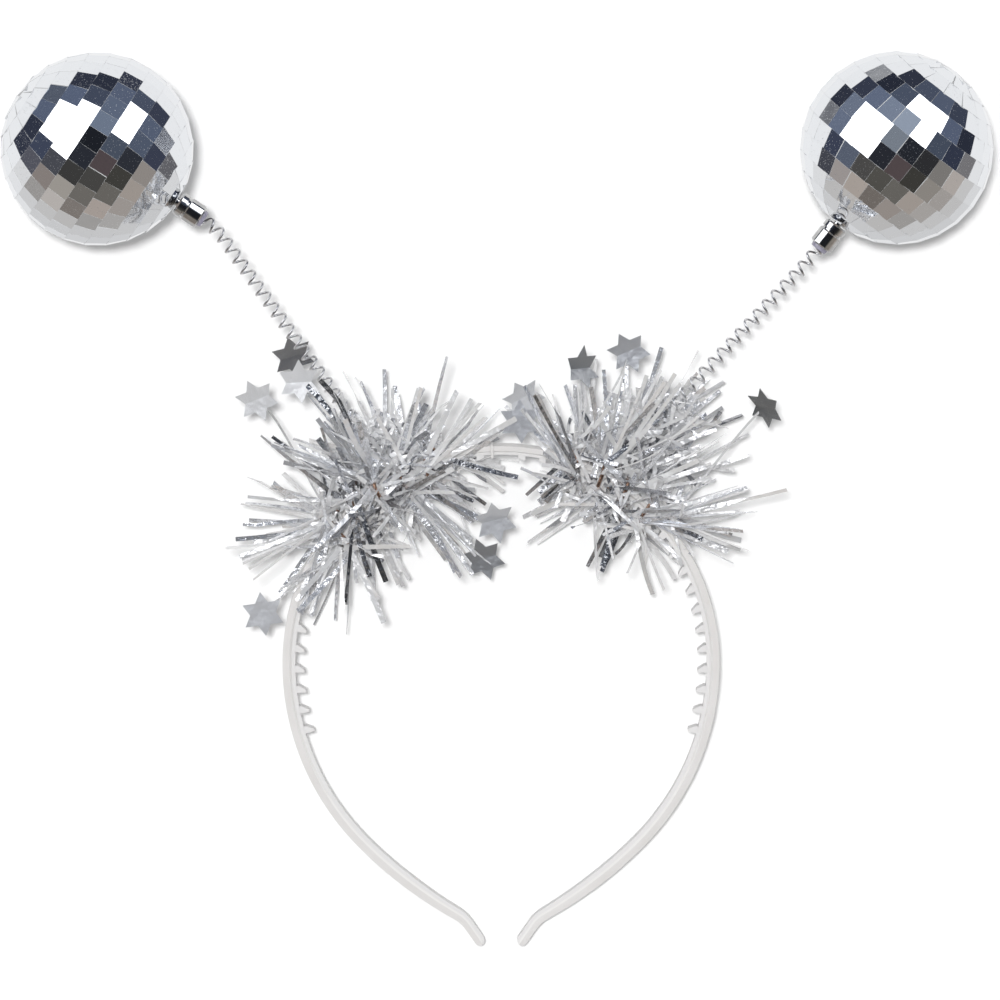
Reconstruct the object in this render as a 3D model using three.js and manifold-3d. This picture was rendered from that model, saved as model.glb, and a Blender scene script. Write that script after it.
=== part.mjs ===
// A head bopper: a toothed plastic headband with two mirror balls on coil springs,
// and a tinsel garland with stars wound round the band at the foot of each spring.
// It lies on a table, resting on the two balls and the two ends of the band.
// Millimetres. The band's own plane has u to the right, v up to the crown and w towards the viewer.
import * as THREE from 'three';
import { mergeVertices } from 'three/addons/utils/BufferGeometryUtils.js';
import Module from 'manifold-3d';

const wasm = await Module();
wasm.setup();

// Fit between pieces that touch
const clearance = 0.3;

// Headband, outer edge of one half, from the crown to the tip
const crownRadius = 58;
const crownSweep = 90;
const sideRadius = 70;
const sideSweep = 44;
const armRadius = 111;
const armSweep = 17;
const tipBendRadius = 8;
const tipBendSweep = 26;
const tipLength = 6.4;

// Headband section: thickness in the plane, depth across it
const crownThickness = 2.4;
const armThickness = 3.4;
const tipThickness = 2.7;
const crownDepth = 9;
const tipDepth = 6;

// Comb teeth on the inner edge
const toothPitch = 5.8;
const toothHeight = 2.4;
const toothBase = 2;
const toothLand = 0.7;
const toothDepth = 6.4;
const toothHeel = 0.6;
const toothedLength = 223;
const crownToothHeight = 1.2;
const crownToothReach = 20;
const fullToothReach = 40;

// Gate rib across the band beside the crown
const gateRibOffset = 2.4;
const gateRibWidth = 0.8;
const gateRibProud = 0.4;

// Springs and the pegs that they sit on
const springDiameter = 3.9;
const wireDiameter = 0.55;
const springPitch = 3.5;
const springLength = 84;
const springRootAngle = 30;
const springBendLength = 9;
const springInsert = 3;
const wireCorners = 4;
const springStepsPerTurn = 8;
const pegHeight = 5;
const pegTaper = 0.8;

// Balls of mirror tiles, and the collars that hold them
const ballDiameter = 51.2;
const tileRows = 14;
const tileColumns = 30;
const shankDiameter = 2.4;
const shankLength = 7;
const collarRingDiameter = 5.9;
const collarRingLength = 2;
const collarGrooveDepth = 0.45;
const collarGrooveLength = 0.5;
const collarBarrelWall = 1.05;
const collarBarrelLength = 4.5;
const collarChamfer = 0.5;
const collarFacets = 10;

// Tinsel garland: a cord wound round the band, with foil strips
const cordDiameter = 1.6;
const windingClearance = 0.6;
const windingPitch = 7.6;
const cordCorners = 4;
const cordStepsPerTurn = 10;
const stripCount = 56;
const stripLength = 30;
const shortestStrip = 0.6;
const stripWidth = 1.4;
const stripThickness = 0.35;
const stripSlant = 55;
const stripFlattening = 0.55;
const stripWander = 0.25;
const curledShare = 0.2;
const stemWidth = 0.8;
const tableClearance = 1;
const crownGap = 4;
const headTop = 17;

// Stars on foil stems
const starRadius = 5.9;
const starWaist = 0.58;
const starThickness = 0.35;
const starReach = 36;

const steel = new THREE.MeshStandardMaterial({ color: 0xb9bbbd, roughness: 0.3, metalness: 1 });
const chrome = new THREE.MeshStandardMaterial({ color: 0xc9cbce, roughness: 0.12, metalness: 1 });
const mirror = new THREE.MeshStandardMaterial({ color: 0xe4e6ea, roughness: 0.05, metalness: 1 });
const foil = new THREE.MeshStandardMaterial({ color: 0xc8ccd4, roughness: 0.2, metalness: 1 });
const starFoil = new THREE.MeshStandardMaterial({ color: 0x9a9ea6, roughness: 0.25, metalness: 1 });
const plastic = new THREE.MeshStandardMaterial({ color: 0xe6e4e0, roughness: 0.4, metalness: 0 });

// What differs from one side to the other: how the flexible spring happens to stand.
// lean is the spring's turn outwards from the band's radius, bend its further turn
// at the collar, both in degrees. stretch is a share of springLength. The winding runs
// from one angle to the other, measured from the crown.
const sides = [
  { name: 'left', sign: -1, lean: 5.4, bend: 21, stretch: 1.012, windFrom: 15, windTo: 54, seed: 11 },
  { name: 'right', sign: 1, lean: 12.8, bend: -5, stretch: 0.98, windFrom: 18, windTo: 50, seed: 29 },
];

// Stars, seen from the middle of their own puff: turn is the direction in degrees from +u,
// out and lift are shares of starReach, spin turns the star in its plane, nod and roll tip it,
// and fold is the angle of its crease. Angles are in degrees.
const stars = [
  { side: 'left', turn: 124, out: 1.1, lift: -0.14, spin: 14, nod: 12, roll: 8, fold: 8 },
  { side: 'left', turn: 127, out: 0.94, lift: 0.17, spin: 5, nod: -14, roll: 10, fold: 26 },
  { side: 'left', turn: 145, out: 1.07, lift: 0.06, spin: 24, nod: 10, roll: -8, fold: 12 },
  { side: 'left', turn: -131, out: 1.27, lift: 0.2, spin: 8, nod: -6, roll: -4, fold: 0 },
  { side: 'left', turn: -17, out: 0.91, lift: 0.18, spin: 12, nod: 12, roll: 10, fold: 24 },
  { side: 'left', turn: -36, out: 0.98, lift: -0.04, spin: 20, nod: 8, roll: -10, fold: 6 },
  { side: 'right', turn: 149, out: 0.89, lift: 0.2, spin: 3, nod: -8, roll: 6, fold: 0 },
  { side: 'right', turn: 140, out: 0.97, lift: 0.08, spin: 28, nod: 16, roll: 12, fold: 18 },
  { side: 'right', turn: 111, out: 0.9, lift: 0.1, spin: 10, nod: -18, roll: 16, fold: 28 },
  { side: 'right', turn: 88, out: 0.97, lift: 0.12, spin: 26, nod: 14, roll: -6, fold: 14 },
  { side: 'right', turn: 28, out: 1.18, lift: 0.1, spin: 16, nod: 8, roll: -14, fold: 6 },
];

const rad = THREE.MathUtils.degToRad;
const smoothstep = THREE.MathUtils.smoothstep;
const lerp = THREE.MathUtils.lerp;
const outOfPlane = new THREE.Vector3(0, 0, 1);

// A closed three.js geometry as a solid, with its faces turned outwards.
function solidOf(geometry) {
  const bare = geometry.clone();
  bare.deleteAttribute('normal');
  bare.deleteAttribute('uv');
  const merged = mergeVertices(bare, 1e-4);
  const places = merged.getAttribute('position');
  const triangles = [];
  let volume = 0;
  const corner = [new THREE.Vector3(), new THREE.Vector3(), new THREE.Vector3()];
  for (let i = 0; i < merged.index.count; i += 3) {
    const [a, b, c] = [0, 1, 2].map((k) => merged.index.getX(i + k));
    if (a === b || b === c || c === a) continue;
    triangles.push([a, b, c]);
    [a, b, c].forEach((index, k) => corner[k].fromBufferAttribute(places, index));
    volume += corner[0].dot(corner[1].clone().cross(corner[2]));
  }
  const outward = volume < 0 ? triangles.map(([a, b, c]) => [a, c, b]) : triangles;
  return new wasm.Manifold(new wasm.Mesh({
    numProp: 3,
    vertProperties: new Float32Array(places.array),
    triVerts: new Uint32Array(outward.flat()),
  }));
}

// A solid back to a flat-shaded geometry.
function geometryOf(solid) {
  const mesh = solid.getMesh();
  const geometry = new THREE.BufferGeometry();
  geometry.setAttribute('position', new THREE.BufferAttribute(new Float32Array(mesh.vertProperties), 3));
  geometry.setIndex(new THREE.BufferAttribute(new Uint32Array(mesh.triVerts), 1));
  const flat = geometry.toNonIndexed();
  flat.computeVertexNormals();
  return flat;
}

function piece(name, solid, material) {
  const mesh = new THREE.Mesh(geometryOf(solid), material.clone());
  mesh.name = name;
  return mesh;
}

function joinAll(solids) {
  return solids.reduce((whole, next) => whole.add(next));
}

// Turns a geometry built along +Y to point along a direction from a place.
function standOn(geometry, place, direction) {
  const turn = new THREE.Quaternion().setFromUnitVectors(new THREE.Vector3(0, 1, 0), direction);
  geometry.applyQuaternion(turn);
  geometry.translate(place.x, place.y, place.z);
  return geometry;
}

// The arcs of one half of the outer edge. A negative radius bends the other way.
const bandArcs = [
  { radius: crownRadius, sweep: rad(crownSweep), steps: 18 },
  { radius: sideRadius, sweep: rad(sideSweep), steps: 8 },
  { radius: armRadius, sweep: rad(armSweep), steps: 4 },
  { radius: -tipBendRadius, sweep: rad(tipBendSweep), steps: 3 },
];
const arcsLength = bandArcs.reduce((sum, arc) => sum + Math.abs(arc.radius) * arc.sweep, 0);
const halfLength = arcsLength + tipLength;

// Place on the outer edge at a distance from the crown, negative to the left, with the
// directions along the edge and square to it.
function edgeAt(distance) {
  const sign = distance < 0 ? -1 : 1;
  let left = Math.abs(distance);
  let heading = 0;
  const place = new THREE.Vector3(0, crownRadius, 0);
  for (const { radius, sweep } of bandArcs) {
    const turned = Math.min(sweep, left / Math.abs(radius));
    const inward = new THREE.Vector3(-Math.sin(heading), -Math.cos(heading), 0);
    place.addScaledVector(inward, radius);
    heading += Math.sign(radius) * turned;
    place.addScaledVector(new THREE.Vector3(Math.sin(heading), Math.cos(heading), 0), radius);
    left -= Math.abs(radius) * turned;
    if (left <= 0) break;
  }
  place.addScaledVector(new THREE.Vector3(Math.cos(heading), -Math.sin(heading), 0), Math.max(left, 0));
  place.x *= sign;
  const inward = new THREE.Vector3(-Math.sin(heading) * sign, -Math.cos(heading), 0);
  const along = new THREE.Vector3(Math.cos(heading) * sign, -Math.sin(heading), 0);
  return { place, inward, along };
}

function bandThicknessAt(distance) {
  const run = Math.abs(distance) / halfLength;
  const body = lerp(crownThickness, armThickness, smoothstep(run, 0.1, 0.5));
  return lerp(body, tipThickness, smoothstep(run, 0.85, 1));
}

function bandDepthAt(distance) {
  return lerp(crownDepth, tipDepth, smoothstep(Math.abs(distance) / halfLength, 0.3, 1));
}

// Distances from the crown at which one half of the outline has a point.
function bandStations() {
  const stations = [];
  let start = 0;
  for (const { radius, sweep, steps } of bandArcs) {
    const length = Math.abs(radius) * sweep;
    for (let i = 0; i < steps; i += 1) stations.push(start + (length * i) / steps);
    start += length;
  }
  stations.push(start);
  return stations;
}

// The rounded end of the band, from the outer edge to the inner edge.
function tipRound(sign) {
  const { place, inward, along } = edgeAt(sign * (halfLength - tipThickness / 2));
  const middle = place.clone().addScaledVector(inward, tipThickness / 2);
  return [0, 45, 90, 135, 180].map((angle) => middle.clone()
    .addScaledVector(inward, (-Math.cos(rad(angle)) * tipThickness) / 2)
    .addScaledVector(along, (Math.sin(rad(angle)) * tipThickness) / 2));
}

function bandBody() {
  const stations = bandStations();
  const outer = (sign) => stations.map((s) => edgeAt(sign * s).place);
  const inner = (sign) => stations.map((s) => {
    const { place, inward } = edgeAt(sign * s);
    return place.clone().addScaledVector(inward, bandThicknessAt(s));
  });
  const outline = [
    ...outer(-1).reverse(),
    ...outer(1).slice(1),
    ...tipRound(1),
    ...inner(1).reverse(),
    ...inner(-1).slice(1),
    ...tipRound(-1).reverse(),
  ];
  const shape = new THREE.Shape(outline.map((p) => new THREE.Vector2(p.x, p.y)));
  const geometry = new THREE.ExtrudeGeometry(shape, { depth: 1, bevelEnabled: false });
  geometry.translate(0, 0, -0.5);
  const places = geometry.getAttribute('position');
  const bottom = edgeAt(halfLength).place.y;
  for (let i = 0; i < places.count; i += 1) {
    const fall = (crownRadius - places.getY(i)) / (crownRadius - bottom);
    places.setZ(i, places.getZ(i) * bandDepthAt(fall * halfLength));
  }
  return solidOf(geometry);
}

function toothHeightAt(distance) {
  const share = smoothstep(Math.abs(distance), crownToothReach, fullToothReach);
  return lerp(crownToothHeight, toothHeight, share);
}

// One tooth: square on the side of the tip, sloping on the side of the crown.
function tooth(distance) {
  const { place, inward, along } = edgeAt(distance);
  const buried = -crownThickness / 4;
  const height = toothHeightAt(distance);
  const profile = [
    [-toothBase / 2, buried],
    [toothBase / 2, buried],
    [toothBase / 2, height],
    [toothBase / 2 - toothLand, height],
    [-toothBase / 2, Math.min(toothHeel, height / 2)],
  ];
  const shape = new THREE.Shape(profile.map(([x, y]) => new THREE.Vector2(x, y)));
  const geometry = new THREE.ExtrudeGeometry(shape, { depth: toothDepth, bevelEnabled: false });
  geometry.translate(0, 0, -toothDepth / 2);
  const foot = place.clone().addScaledVector(inward, bandThicknessAt(distance));
  geometry.applyMatrix4(new THREE.Matrix4().makeBasis(along, inward, outOfPlane));
  geometry.translate(foot.x, foot.y, foot.z);
  return solidOf(geometry);
}

function teeth() {
  const solids = [];
  const perHalf = Math.floor(toothedLength / 2 / toothPitch);
  for (let i = -perHalf; i <= perHalf; i += 1) {
    if (i !== 0) solids.push(tooth(i * toothPitch));
  }
  return solids;
}

function gateRib() {
  const { place, inward, along } = edgeAt(-gateRibOffset);
  const height = crownThickness + crownToothHeight;
  const depth = crownDepth + 2 * gateRibProud;
  const geometry = new THREE.BoxGeometry(gateRibWidth, height, depth);
  geometry.applyMatrix4(new THREE.Matrix4().makeBasis(along, inward, outOfPlane));
  const middle = place.clone().addScaledVector(inward, height / 2 - gateRibProud);
  geometry.translate(middle.x, middle.y, middle.z);
  return solidOf(geometry);
}

// The spring's centre line: straight from the band, bent near the collar, straight in it.
function springAxis(side) {
  const root = edgeAt(side.sign * rad(springRootAngle) * crownRadius);
  const startAngle = springRootAngle + side.lean;
  const length = springLength * side.stretch;
  const straight = length - springBendLength;
  const direction = (angle) => new THREE.Vector3(
    side.sign * Math.sin(rad(angle)),
    Math.cos(rad(angle)),
    0,
  );
  const bendRadius = springBendLength / rad(side.bend);
  const bentShare = (s) => THREE.MathUtils.clamp((s - straight) / springBendLength, 0, 1);
  const angleAt = (s) => startAngle + side.bend * bentShare(s);
  const at = (s) => {
    const place = root.place.clone().addScaledVector(direction(startAngle), Math.min(s, straight));
    if (s > straight) {
      const angle = angleAt(s);
      place.addScaledVector(direction(startAngle + 90), bendRadius);
      place.addScaledVector(direction(angle + 90), -bendRadius);
      place.addScaledVector(direction(angle), Math.max(s - length, 0));
    }
    return { place, direction: direction(angleAt(s)), across: direction(angleAt(s) + 90) };
  };
  return { at, length };
}

// The helix of the wire round the centre line.
class SpringWire extends THREE.Curve {
  constructor(axis) {
    super();
    this.axis = axis;
    this.start = clearance + wireDiameter / 2;
    this.end = axis.length + springInsert;
    this.arcLengthDivisions = Math.ceil((this.end - this.start) / springPitch) * 36;
  }

  getPoint(t, target = new THREE.Vector3()) {
    const s = lerp(this.start, this.end, t);
    const phase = (2 * Math.PI * s) / springPitch;
    const radius = (springDiameter - wireDiameter) / 2;
    const { place, across } = this.axis.at(s);
    return target.copy(place)
      .addScaledVector(across, radius * Math.cos(phase))
      .addScaledVector(outOfPlane, radius * Math.sin(phase));
  }
}

function polygon(radius, corners) {
  const points = [];
  for (let i = 0; i < corners; i += 1) {
    const angle = (2 * Math.PI * i) / corners;
    points.push(new THREE.Vector2(radius * Math.cos(angle), radius * Math.sin(angle)));
  }
  return new THREE.Shape(points);
}

function spring(axis) {
  const wire = new SpringWire(axis);
  const turns = (wire.end - wire.start) / springPitch;
  const geometry = new THREE.ExtrudeGeometry(polygon(wireDiameter / 2, wireCorners), {
    extrudePath: wire,
    steps: Math.ceil(turns * springStepsPerTurn),
    bevelEnabled: false,
  });
  return solidOf(geometry);
}

function springPeg(axis) {
  const radius = springDiameter / 2 - wireDiameter - clearance;
  const buried = crownThickness / 2;
  const geometry = new THREE.CylinderGeometry(radius * pegTaper, radius, pegHeight + buried, 12);
  geometry.translate(0, (pegHeight - buried) / 2, 0);
  const { place, direction } = axis.at(0);
  return solidOf(standOn(geometry, place, direction));
}

const collarLength = collarRingLength + collarGrooveLength + collarBarrelLength;
const ballRadius = ballDiameter / 2;

// The collar: a shank for the ball, a ring, a groove, and a barrel bored for the spring.
function collar(axis) {
  const ring = collarRingDiameter / 2;
  const groove = ring - collarGrooveDepth;
  const bore = springDiameter / 2 + clearance;
  const barrel = bore + collarBarrelWall;
  const grooveEnd = collarRingLength + collarGrooveLength;
  const boreFloor = collarLength - springInsert - clearance;
  const profile = [
    [0, -shankLength],
    [shankDiameter / 2, -shankLength],
    [shankDiameter / 2, 0],
    [ring - collarChamfer, 0],
    [ring, collarChamfer],
    [ring, collarRingLength],
    [groove, collarRingLength],
    [groove, grooveEnd],
    [barrel - collarChamfer, grooveEnd],
    [barrel, grooveEnd + collarChamfer],
    [barrel, collarLength - collarChamfer],
    [barrel - collarChamfer, collarLength],
    [bore, collarLength],
    [bore, boreFloor],
    [0, boreFloor],
  ].map(([x, y]) => new THREE.Vector2(x, y));
  const { place, direction } = axis.at(axis.length);
  const geometry = new THREE.LatheGeometry(profile, collarFacets);
  const foot = place.clone().addScaledVector(direction, collarLength);
  return solidOf(standOn(geometry, foot, direction.clone().negate()));
}

function ballCentre(axis) {
  const { place, direction } = axis.at(axis.length);
  return place.clone().addScaledVector(direction, collarLength + clearance + ballRadius);
}

// A ball of flat tiles in rows round the collar's axis, with a hole for the shank.
function ball(axis) {
  const hole = shankDiameter / 2 + clearance;
  const floor = ballRadius - shankLength - clearance;
  const profile = [
    new THREE.Vector2(0, floor),
    new THREE.Vector2(hole, floor),
    new THREE.Vector2(hole, ballRadius),
  ];
  for (let row = 1; row < tileRows; row += 1) {
    const angle = (Math.PI * row) / tileRows;
    profile.push(new THREE.Vector2(ballRadius * Math.sin(angle), ballRadius * Math.cos(angle)));
  }
  profile.push(new THREE.Vector2(0, -ballRadius));
  const { direction } = axis.at(axis.length);
  const geometry = new THREE.LatheGeometry(profile, tileColumns);
  return solidOf(standOn(geometry, ballCentre(axis), direction.clone().negate()));
}

// The garland's cord, wound round the band and its teeth over one stretch.
class WindingCord extends THREE.Curve {
  constructor(side) {
    super();
    this.side = side;
    this.from = rad(side.windFrom) * crownRadius;
    this.to = rad(side.windTo) * crownRadius;
    this.turns = (this.to - this.from) / windingPitch;
    this.arcLengthDivisions = Math.ceil(this.turns) * 48;
  }

  // Station on the band and offsets from the middle of its section.
  section(t) {
    const s = lerp(this.from, this.to, t);
    const spare = clearance + windingClearance + cordDiameter / 2;
    const fromRoot = (s - rad(springRootAngle) * crownRadius) / windingPitch;
    const phase = Math.PI + 2 * Math.PI * fromRoot;
    const outside = spare;
    const inside = bandThicknessAt(s) + toothHeightAt(s) + spare;
    const round = (value) => Math.sign(value) * Math.sqrt(Math.abs(value));
    const radial = (outside - inside) / 2 + ((outside + inside) / 2) * round(Math.cos(phase));
    const lift = (crownDepth / 2 + spare) * round(Math.sin(phase));
    return { s, radial, lift };
  }

  getPoint(t, target = new THREE.Vector3()) {
    const { s, radial, lift } = this.section(t);
    const { place, inward } = edgeAt(this.side.sign * s);
    return target.copy(place).addScaledVector(inward, -radial).addScaledVector(outOfPlane, lift);
  }

  // Direction away from the middle of the band at this place.
  away(t) {
    const { s, radial, lift } = this.section(t);
    const { inward } = edgeAt(this.side.sign * s);
    const middle = -bandThicknessAt(s) / 2;
    return inward.clone().multiplyScalar(middle - radial).addScaledVector(outOfPlane, lift).normalize();
  }
}

// A flat strip of foil along a path, its section turned about that path.
function ribbon(path, width, turn, steps) {
  const half = new THREE.Vector2(width / 2, stripThickness / 2);
  const corners = [[-1, -1], [1, -1], [1, 1], [-1, 1]].map(([x, y]) => (
    new THREE.Vector2(x * half.x, y * half.y).rotateAround(new THREE.Vector2(), turn)
  ));
  const geometry = new THREE.ExtrudeGeometry(new THREE.Shape(corners), {
    extrudePath: path,
    steps,
    bevelEnabled: false,
  });
  return solidOf(geometry);
}

// How the rigid whole lies: the tilt at which the balls and the band's ends share one plane.
const axes = Object.fromEntries(sides.map((side) => [side.name, springAxis(side)]));
const ballHeights = sides.map((side) => ballCentre(axes[side.name]).y);
const ballUp = (ballHeights[0] + ballHeights[1]) / 2;
const tipDown = edgeAt(halfLength).place.y;
const lieAngle = Math.asin((ballRadius - tipDepth / 2) / (ballUp - tipDown));

function heightOverTable(point) {
  const slope = Math.sin(lieAngle);
  return (point.y - tipDown) * slope + point.z * Math.cos(lieAngle) + tipDepth / 2;
}

// The middle of a puff: on the band, halfway along its winding.
function puffMiddle(side) {
  const angle = (side.windFrom + side.windTo) / 2;
  const { place, inward } = edgeAt(side.sign * rad(angle) * crownRadius);
  return place.clone().addScaledVector(inward, crownThickness / 2);
}

// Where a star sits, and which way it faces.
function starPlace(star) {
  const side = sides.find((each) => each.name === star.side);
  const reach = starReach * star.out;
  const centre = puffMiddle(side).add(new THREE.Vector3(
    reach * Math.cos(rad(star.turn)),
    reach * Math.sin(rad(star.turn)),
    starReach * star.lift,
  ));
  const angles = new THREE.Euler(rad(star.nod), rad(star.roll), rad(star.spin));
  const turn = new THREE.Quaternion().setFromEuler(angles);
  const facing = outOfPlane.clone().applyQuaternion(turn);
  return { side, centre, turn, facing };
}

// A six-pointed star folded along a line through two of its waists.
function starPlate(star) {
  const points = 6;
  const { centre, turn } = starPlace(star);
  const geometry = new THREE.CylinderGeometry(starRadius, starRadius, starThickness, 2 * points);
  geometry.rotateX(Math.PI / 2);
  const places = geometry.getAttribute('position');
  for (let i = 0; i < places.count; i += 1) {
    const [x, y, z] = [places.getX(i), places.getY(i), places.getZ(i)];
    const corner = Math.round((Math.atan2(y, x) / Math.PI) * points);
    const share = corner % 2 === 0 ? starWaist : 1;
    const lift = Math.abs(y * share) * Math.tan(rad(star.fold));
    places.setXYZ(i, x * share, y * share, z + lift);
  }
  geometry.applyQuaternion(turn);
  geometry.translate(centre.x, centre.y, centre.z);
  return solidOf(geometry);
}

// The foil stem that carries a star, from the winding to just behind the star.
function starStem(star, cord) {
  const { side, centre, facing } = starPlace(star);
  const behind = starThickness / 2 + clearance + stemWidth / 2;
  const tip = centre.clone().addScaledVector(facing, -behind);
  const leaving = (t) => cord.getPoint(t).addScaledVector(cord.away(t), starRadius);
  const samples = 60;
  let best = 0;
  for (let i = 1; i < samples; i += 1) {
    if (leaving(i / samples).distanceTo(tip) < leaving(best).distanceTo(tip)) best = i / samples;
  }
  const inward = puffMiddle(side).sub(centre).projectOnPlane(facing).normalize();
  const arriving = tip.clone()
    .addScaledVector(inward, starRadius * 1.3)
    .addScaledVector(facing, -starRadius * 0.4);
  const path = new THREE.CubicBezierCurve3(cord.getPoint(best), leaving(best), arriving, tip);
  return ribbon(path, stemWidth, 0, 5);
}

// Whether a point of a strip has room: clear of the table, the band, both springs, every star,
// the other puff and the space for the head.
function hasRoom(point, side, starCentres) {
  const spare = clearance + stripWidth / 2;
  if (heightOverTable(point) < tableClearance + spare) return false;
  if (point.x * side.sign < crownGap) return false;
  if (point.y < headTop) return false;
  const fromCentre = Math.hypot(point.x, point.y);
  const bandInside = crownRadius - armThickness - toothHeight - spare;
  const besideBand = Math.abs(point.z) < crownDepth / 2 + spare;
  if (besideBand && fromCentre > bandInside && fromCentre < crownRadius + spare) return false;
  const axis = axes[side.name];
  const fromRoot = point.distanceTo(axis.at(0).place);
  for (let s = 0; s < Math.min(fromRoot * 2, axis.length); s += springDiameter / 2) {
    if (axis.at(s).place.distanceTo(point) < springDiameter / 2 + spare + clearance) return false;
  }
  return starCentres.every((centre) => centre.distanceTo(point) > starRadius + spare);
}

// A puff: the wound cord with its strips, and the stems of its stars, joined into one body.
function tinsel(side) {
  const cord = new WindingCord(side);
  const core = solidOf(new THREE.ExtrudeGeometry(polygon(cordDiameter / 2, cordCorners), {
    extrudePath: cord,
    steps: Math.ceil(cord.turns * cordStepsPerTurn),
    bevelEnabled: false,
  }));
  const ownStars = stars.filter((star) => star.side === side.name);
  const starCentres = stars.map((star) => starPlace(star).centre);
  const solids = [core, ...ownStars.map((star) => starStem(star, cord))];
  const random = THREE.MathUtils.seededRandom;
  random(side.seed);
  for (let i = 0; i < stripCount; i += 1) {
    const t = 0.02 + 0.96 * ((i * 0.618034) % 1);
    const root = cord.getPoint(t);
    const along = edgeAt(side.sign * cord.section(t).s).along;
    const slant = rad(stripSlant) * lerp(-1, 1, random());
    const direction = cord.away(t).multiplyScalar(Math.cos(slant)).addScaledVector(along, Math.sin(slant));
    direction.z *= stripFlattening;
    direction.normalize();
    const length = stripLength * lerp(shortestStrip, 1, random());
    const wander = new THREE.Vector3(random() - 0.5, random() - 0.5, random() - 0.5);
    const bow = root.clone().addScaledVector(direction, length / 2);
    const tip = root.clone().addScaledVector(direction, length).addScaledVector(wander, length * stripWander);
    const turn = random() * Math.PI;
    const curled = random() < curledShare;
    const path = curled ? new THREE.QuadraticBezierCurve3(root, bow, tip) : new THREE.LineCurve3(root, tip);
    const clear = [0.2, 0.35, 0.5, 0.65, 0.8, 0.9, 1].every((share) => (
      hasRoom(path.getPoint(share), side, starCentres)
    ));
    if (clear) solids.push(ribbon(path, stripWidth, turn, curled ? 3 : 1));
  }
  return joinAll(solids);
}

const bopper = new THREE.Group();
bopper.rotation.x = lieAngle;
const pegs = sides.map((side) => springPeg(axes[side.name]));
bopper.add(piece('headband', joinAll([bandBody(), ...teeth(), gateRib(), ...pegs]), plastic));
for (const side of sides) {
  const axis = axes[side.name];
  bopper.add(piece(`spring_${side.name}`, spring(axis), steel));
  bopper.add(piece(`collar_${side.name}`, collar(axis), chrome));
  bopper.add(piece(`ball_${side.name}`, ball(axis), mirror));
  bopper.add(piece(`tinsel_${side.name}`, tinsel(side), foil));
}
stars.forEach((star, i) => bopper.add(piece(`star_${i + 1}`, starPlate(star), starFoil)));

// The origin is at the bottom centre of the box round the whole.
const part = new THREE.Group();
part.add(bopper);
part.updateMatrixWorld(true);
const extent = new THREE.Box3().setFromObject(part, true);
const middle = extent.getCenter(new THREE.Vector3());
bopper.position.set(-middle.x, -middle.y, -extent.min.z);
part.updateMatrixWorld(true);

export default part;
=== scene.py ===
import math
import bpy
import bmesh
import numpy as np
from mathutils import Euler, Matrix, Vector


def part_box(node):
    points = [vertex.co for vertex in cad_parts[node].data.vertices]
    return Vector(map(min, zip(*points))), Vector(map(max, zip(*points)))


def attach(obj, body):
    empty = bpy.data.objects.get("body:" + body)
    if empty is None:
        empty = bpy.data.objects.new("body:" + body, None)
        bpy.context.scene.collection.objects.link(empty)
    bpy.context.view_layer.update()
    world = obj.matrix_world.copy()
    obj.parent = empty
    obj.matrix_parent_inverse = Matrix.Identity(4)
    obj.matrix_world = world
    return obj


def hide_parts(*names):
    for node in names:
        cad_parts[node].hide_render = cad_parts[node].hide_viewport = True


# Looks for a head bopper: a toothed plastic band, two mirror balls on coil springs,
# and two tinsel puffs with foil stars. Shapes are drawn in millimetres in the band's own
# plane (u to the right, v up to the crown, w towards the viewer) and then laid on the table.
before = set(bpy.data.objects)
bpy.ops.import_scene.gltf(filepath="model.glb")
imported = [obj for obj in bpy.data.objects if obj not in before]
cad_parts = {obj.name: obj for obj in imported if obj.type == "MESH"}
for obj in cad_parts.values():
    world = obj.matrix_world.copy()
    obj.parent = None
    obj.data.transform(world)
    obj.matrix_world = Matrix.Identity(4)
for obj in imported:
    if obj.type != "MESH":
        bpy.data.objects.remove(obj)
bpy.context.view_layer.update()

mm = 0.001
outOfPlane = Vector((0, 0, 1))


# Band outline

band = {
    "crownRadius": 58, "crownSweep": 90,    # outer edge of one half, crown to tip
    "sideRadius": 70, "sideSweep": 44,
    "armRadius": 111, "armSweep": 17,
    "tipBendRadius": 8, "tipBendSweep": 26,    # this bend turns outwards
    "tipLength": 6.4,
    "crownThickness": 2.4, "armThickness": 3.4, "tipThickness": 2.7,
    "crownDepth": 9, "tipDepth": 6,
    "lipFrom": 0.54, "lipTo": 0.70,    # the step down to the inner lip, shares of the thickness
    "lipDepth": 6.4, "lipStep": 0.3,
    "stationGap": 1.5, "stationSpare": 0.5, "endTurns": (0, 25, 45, 65, 80, 90), "endLeast": 0.02,
    "edgeRound": 0.18, "edgeSegments": 2,
    "creaseAngle": 38,
}

bandArcs = [
    (band["crownRadius"], math.radians(band["crownSweep"])),
    (band["sideRadius"], math.radians(band["sideSweep"])),
    (band["armRadius"], math.radians(band["armSweep"])),
    (-band["tipBendRadius"], math.radians(band["tipBendSweep"])),
]
halfLength = sum(abs(radius) * sweep for radius, sweep in bandArcs) + band["tipLength"]


def lerp(a, b, share):
    return a + (b - a) * share


def smoothStep(value, low, high):
    share = min(max((value - low) / (high - low), 0), 1)
    return share * share * (3 - 2 * share)


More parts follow.
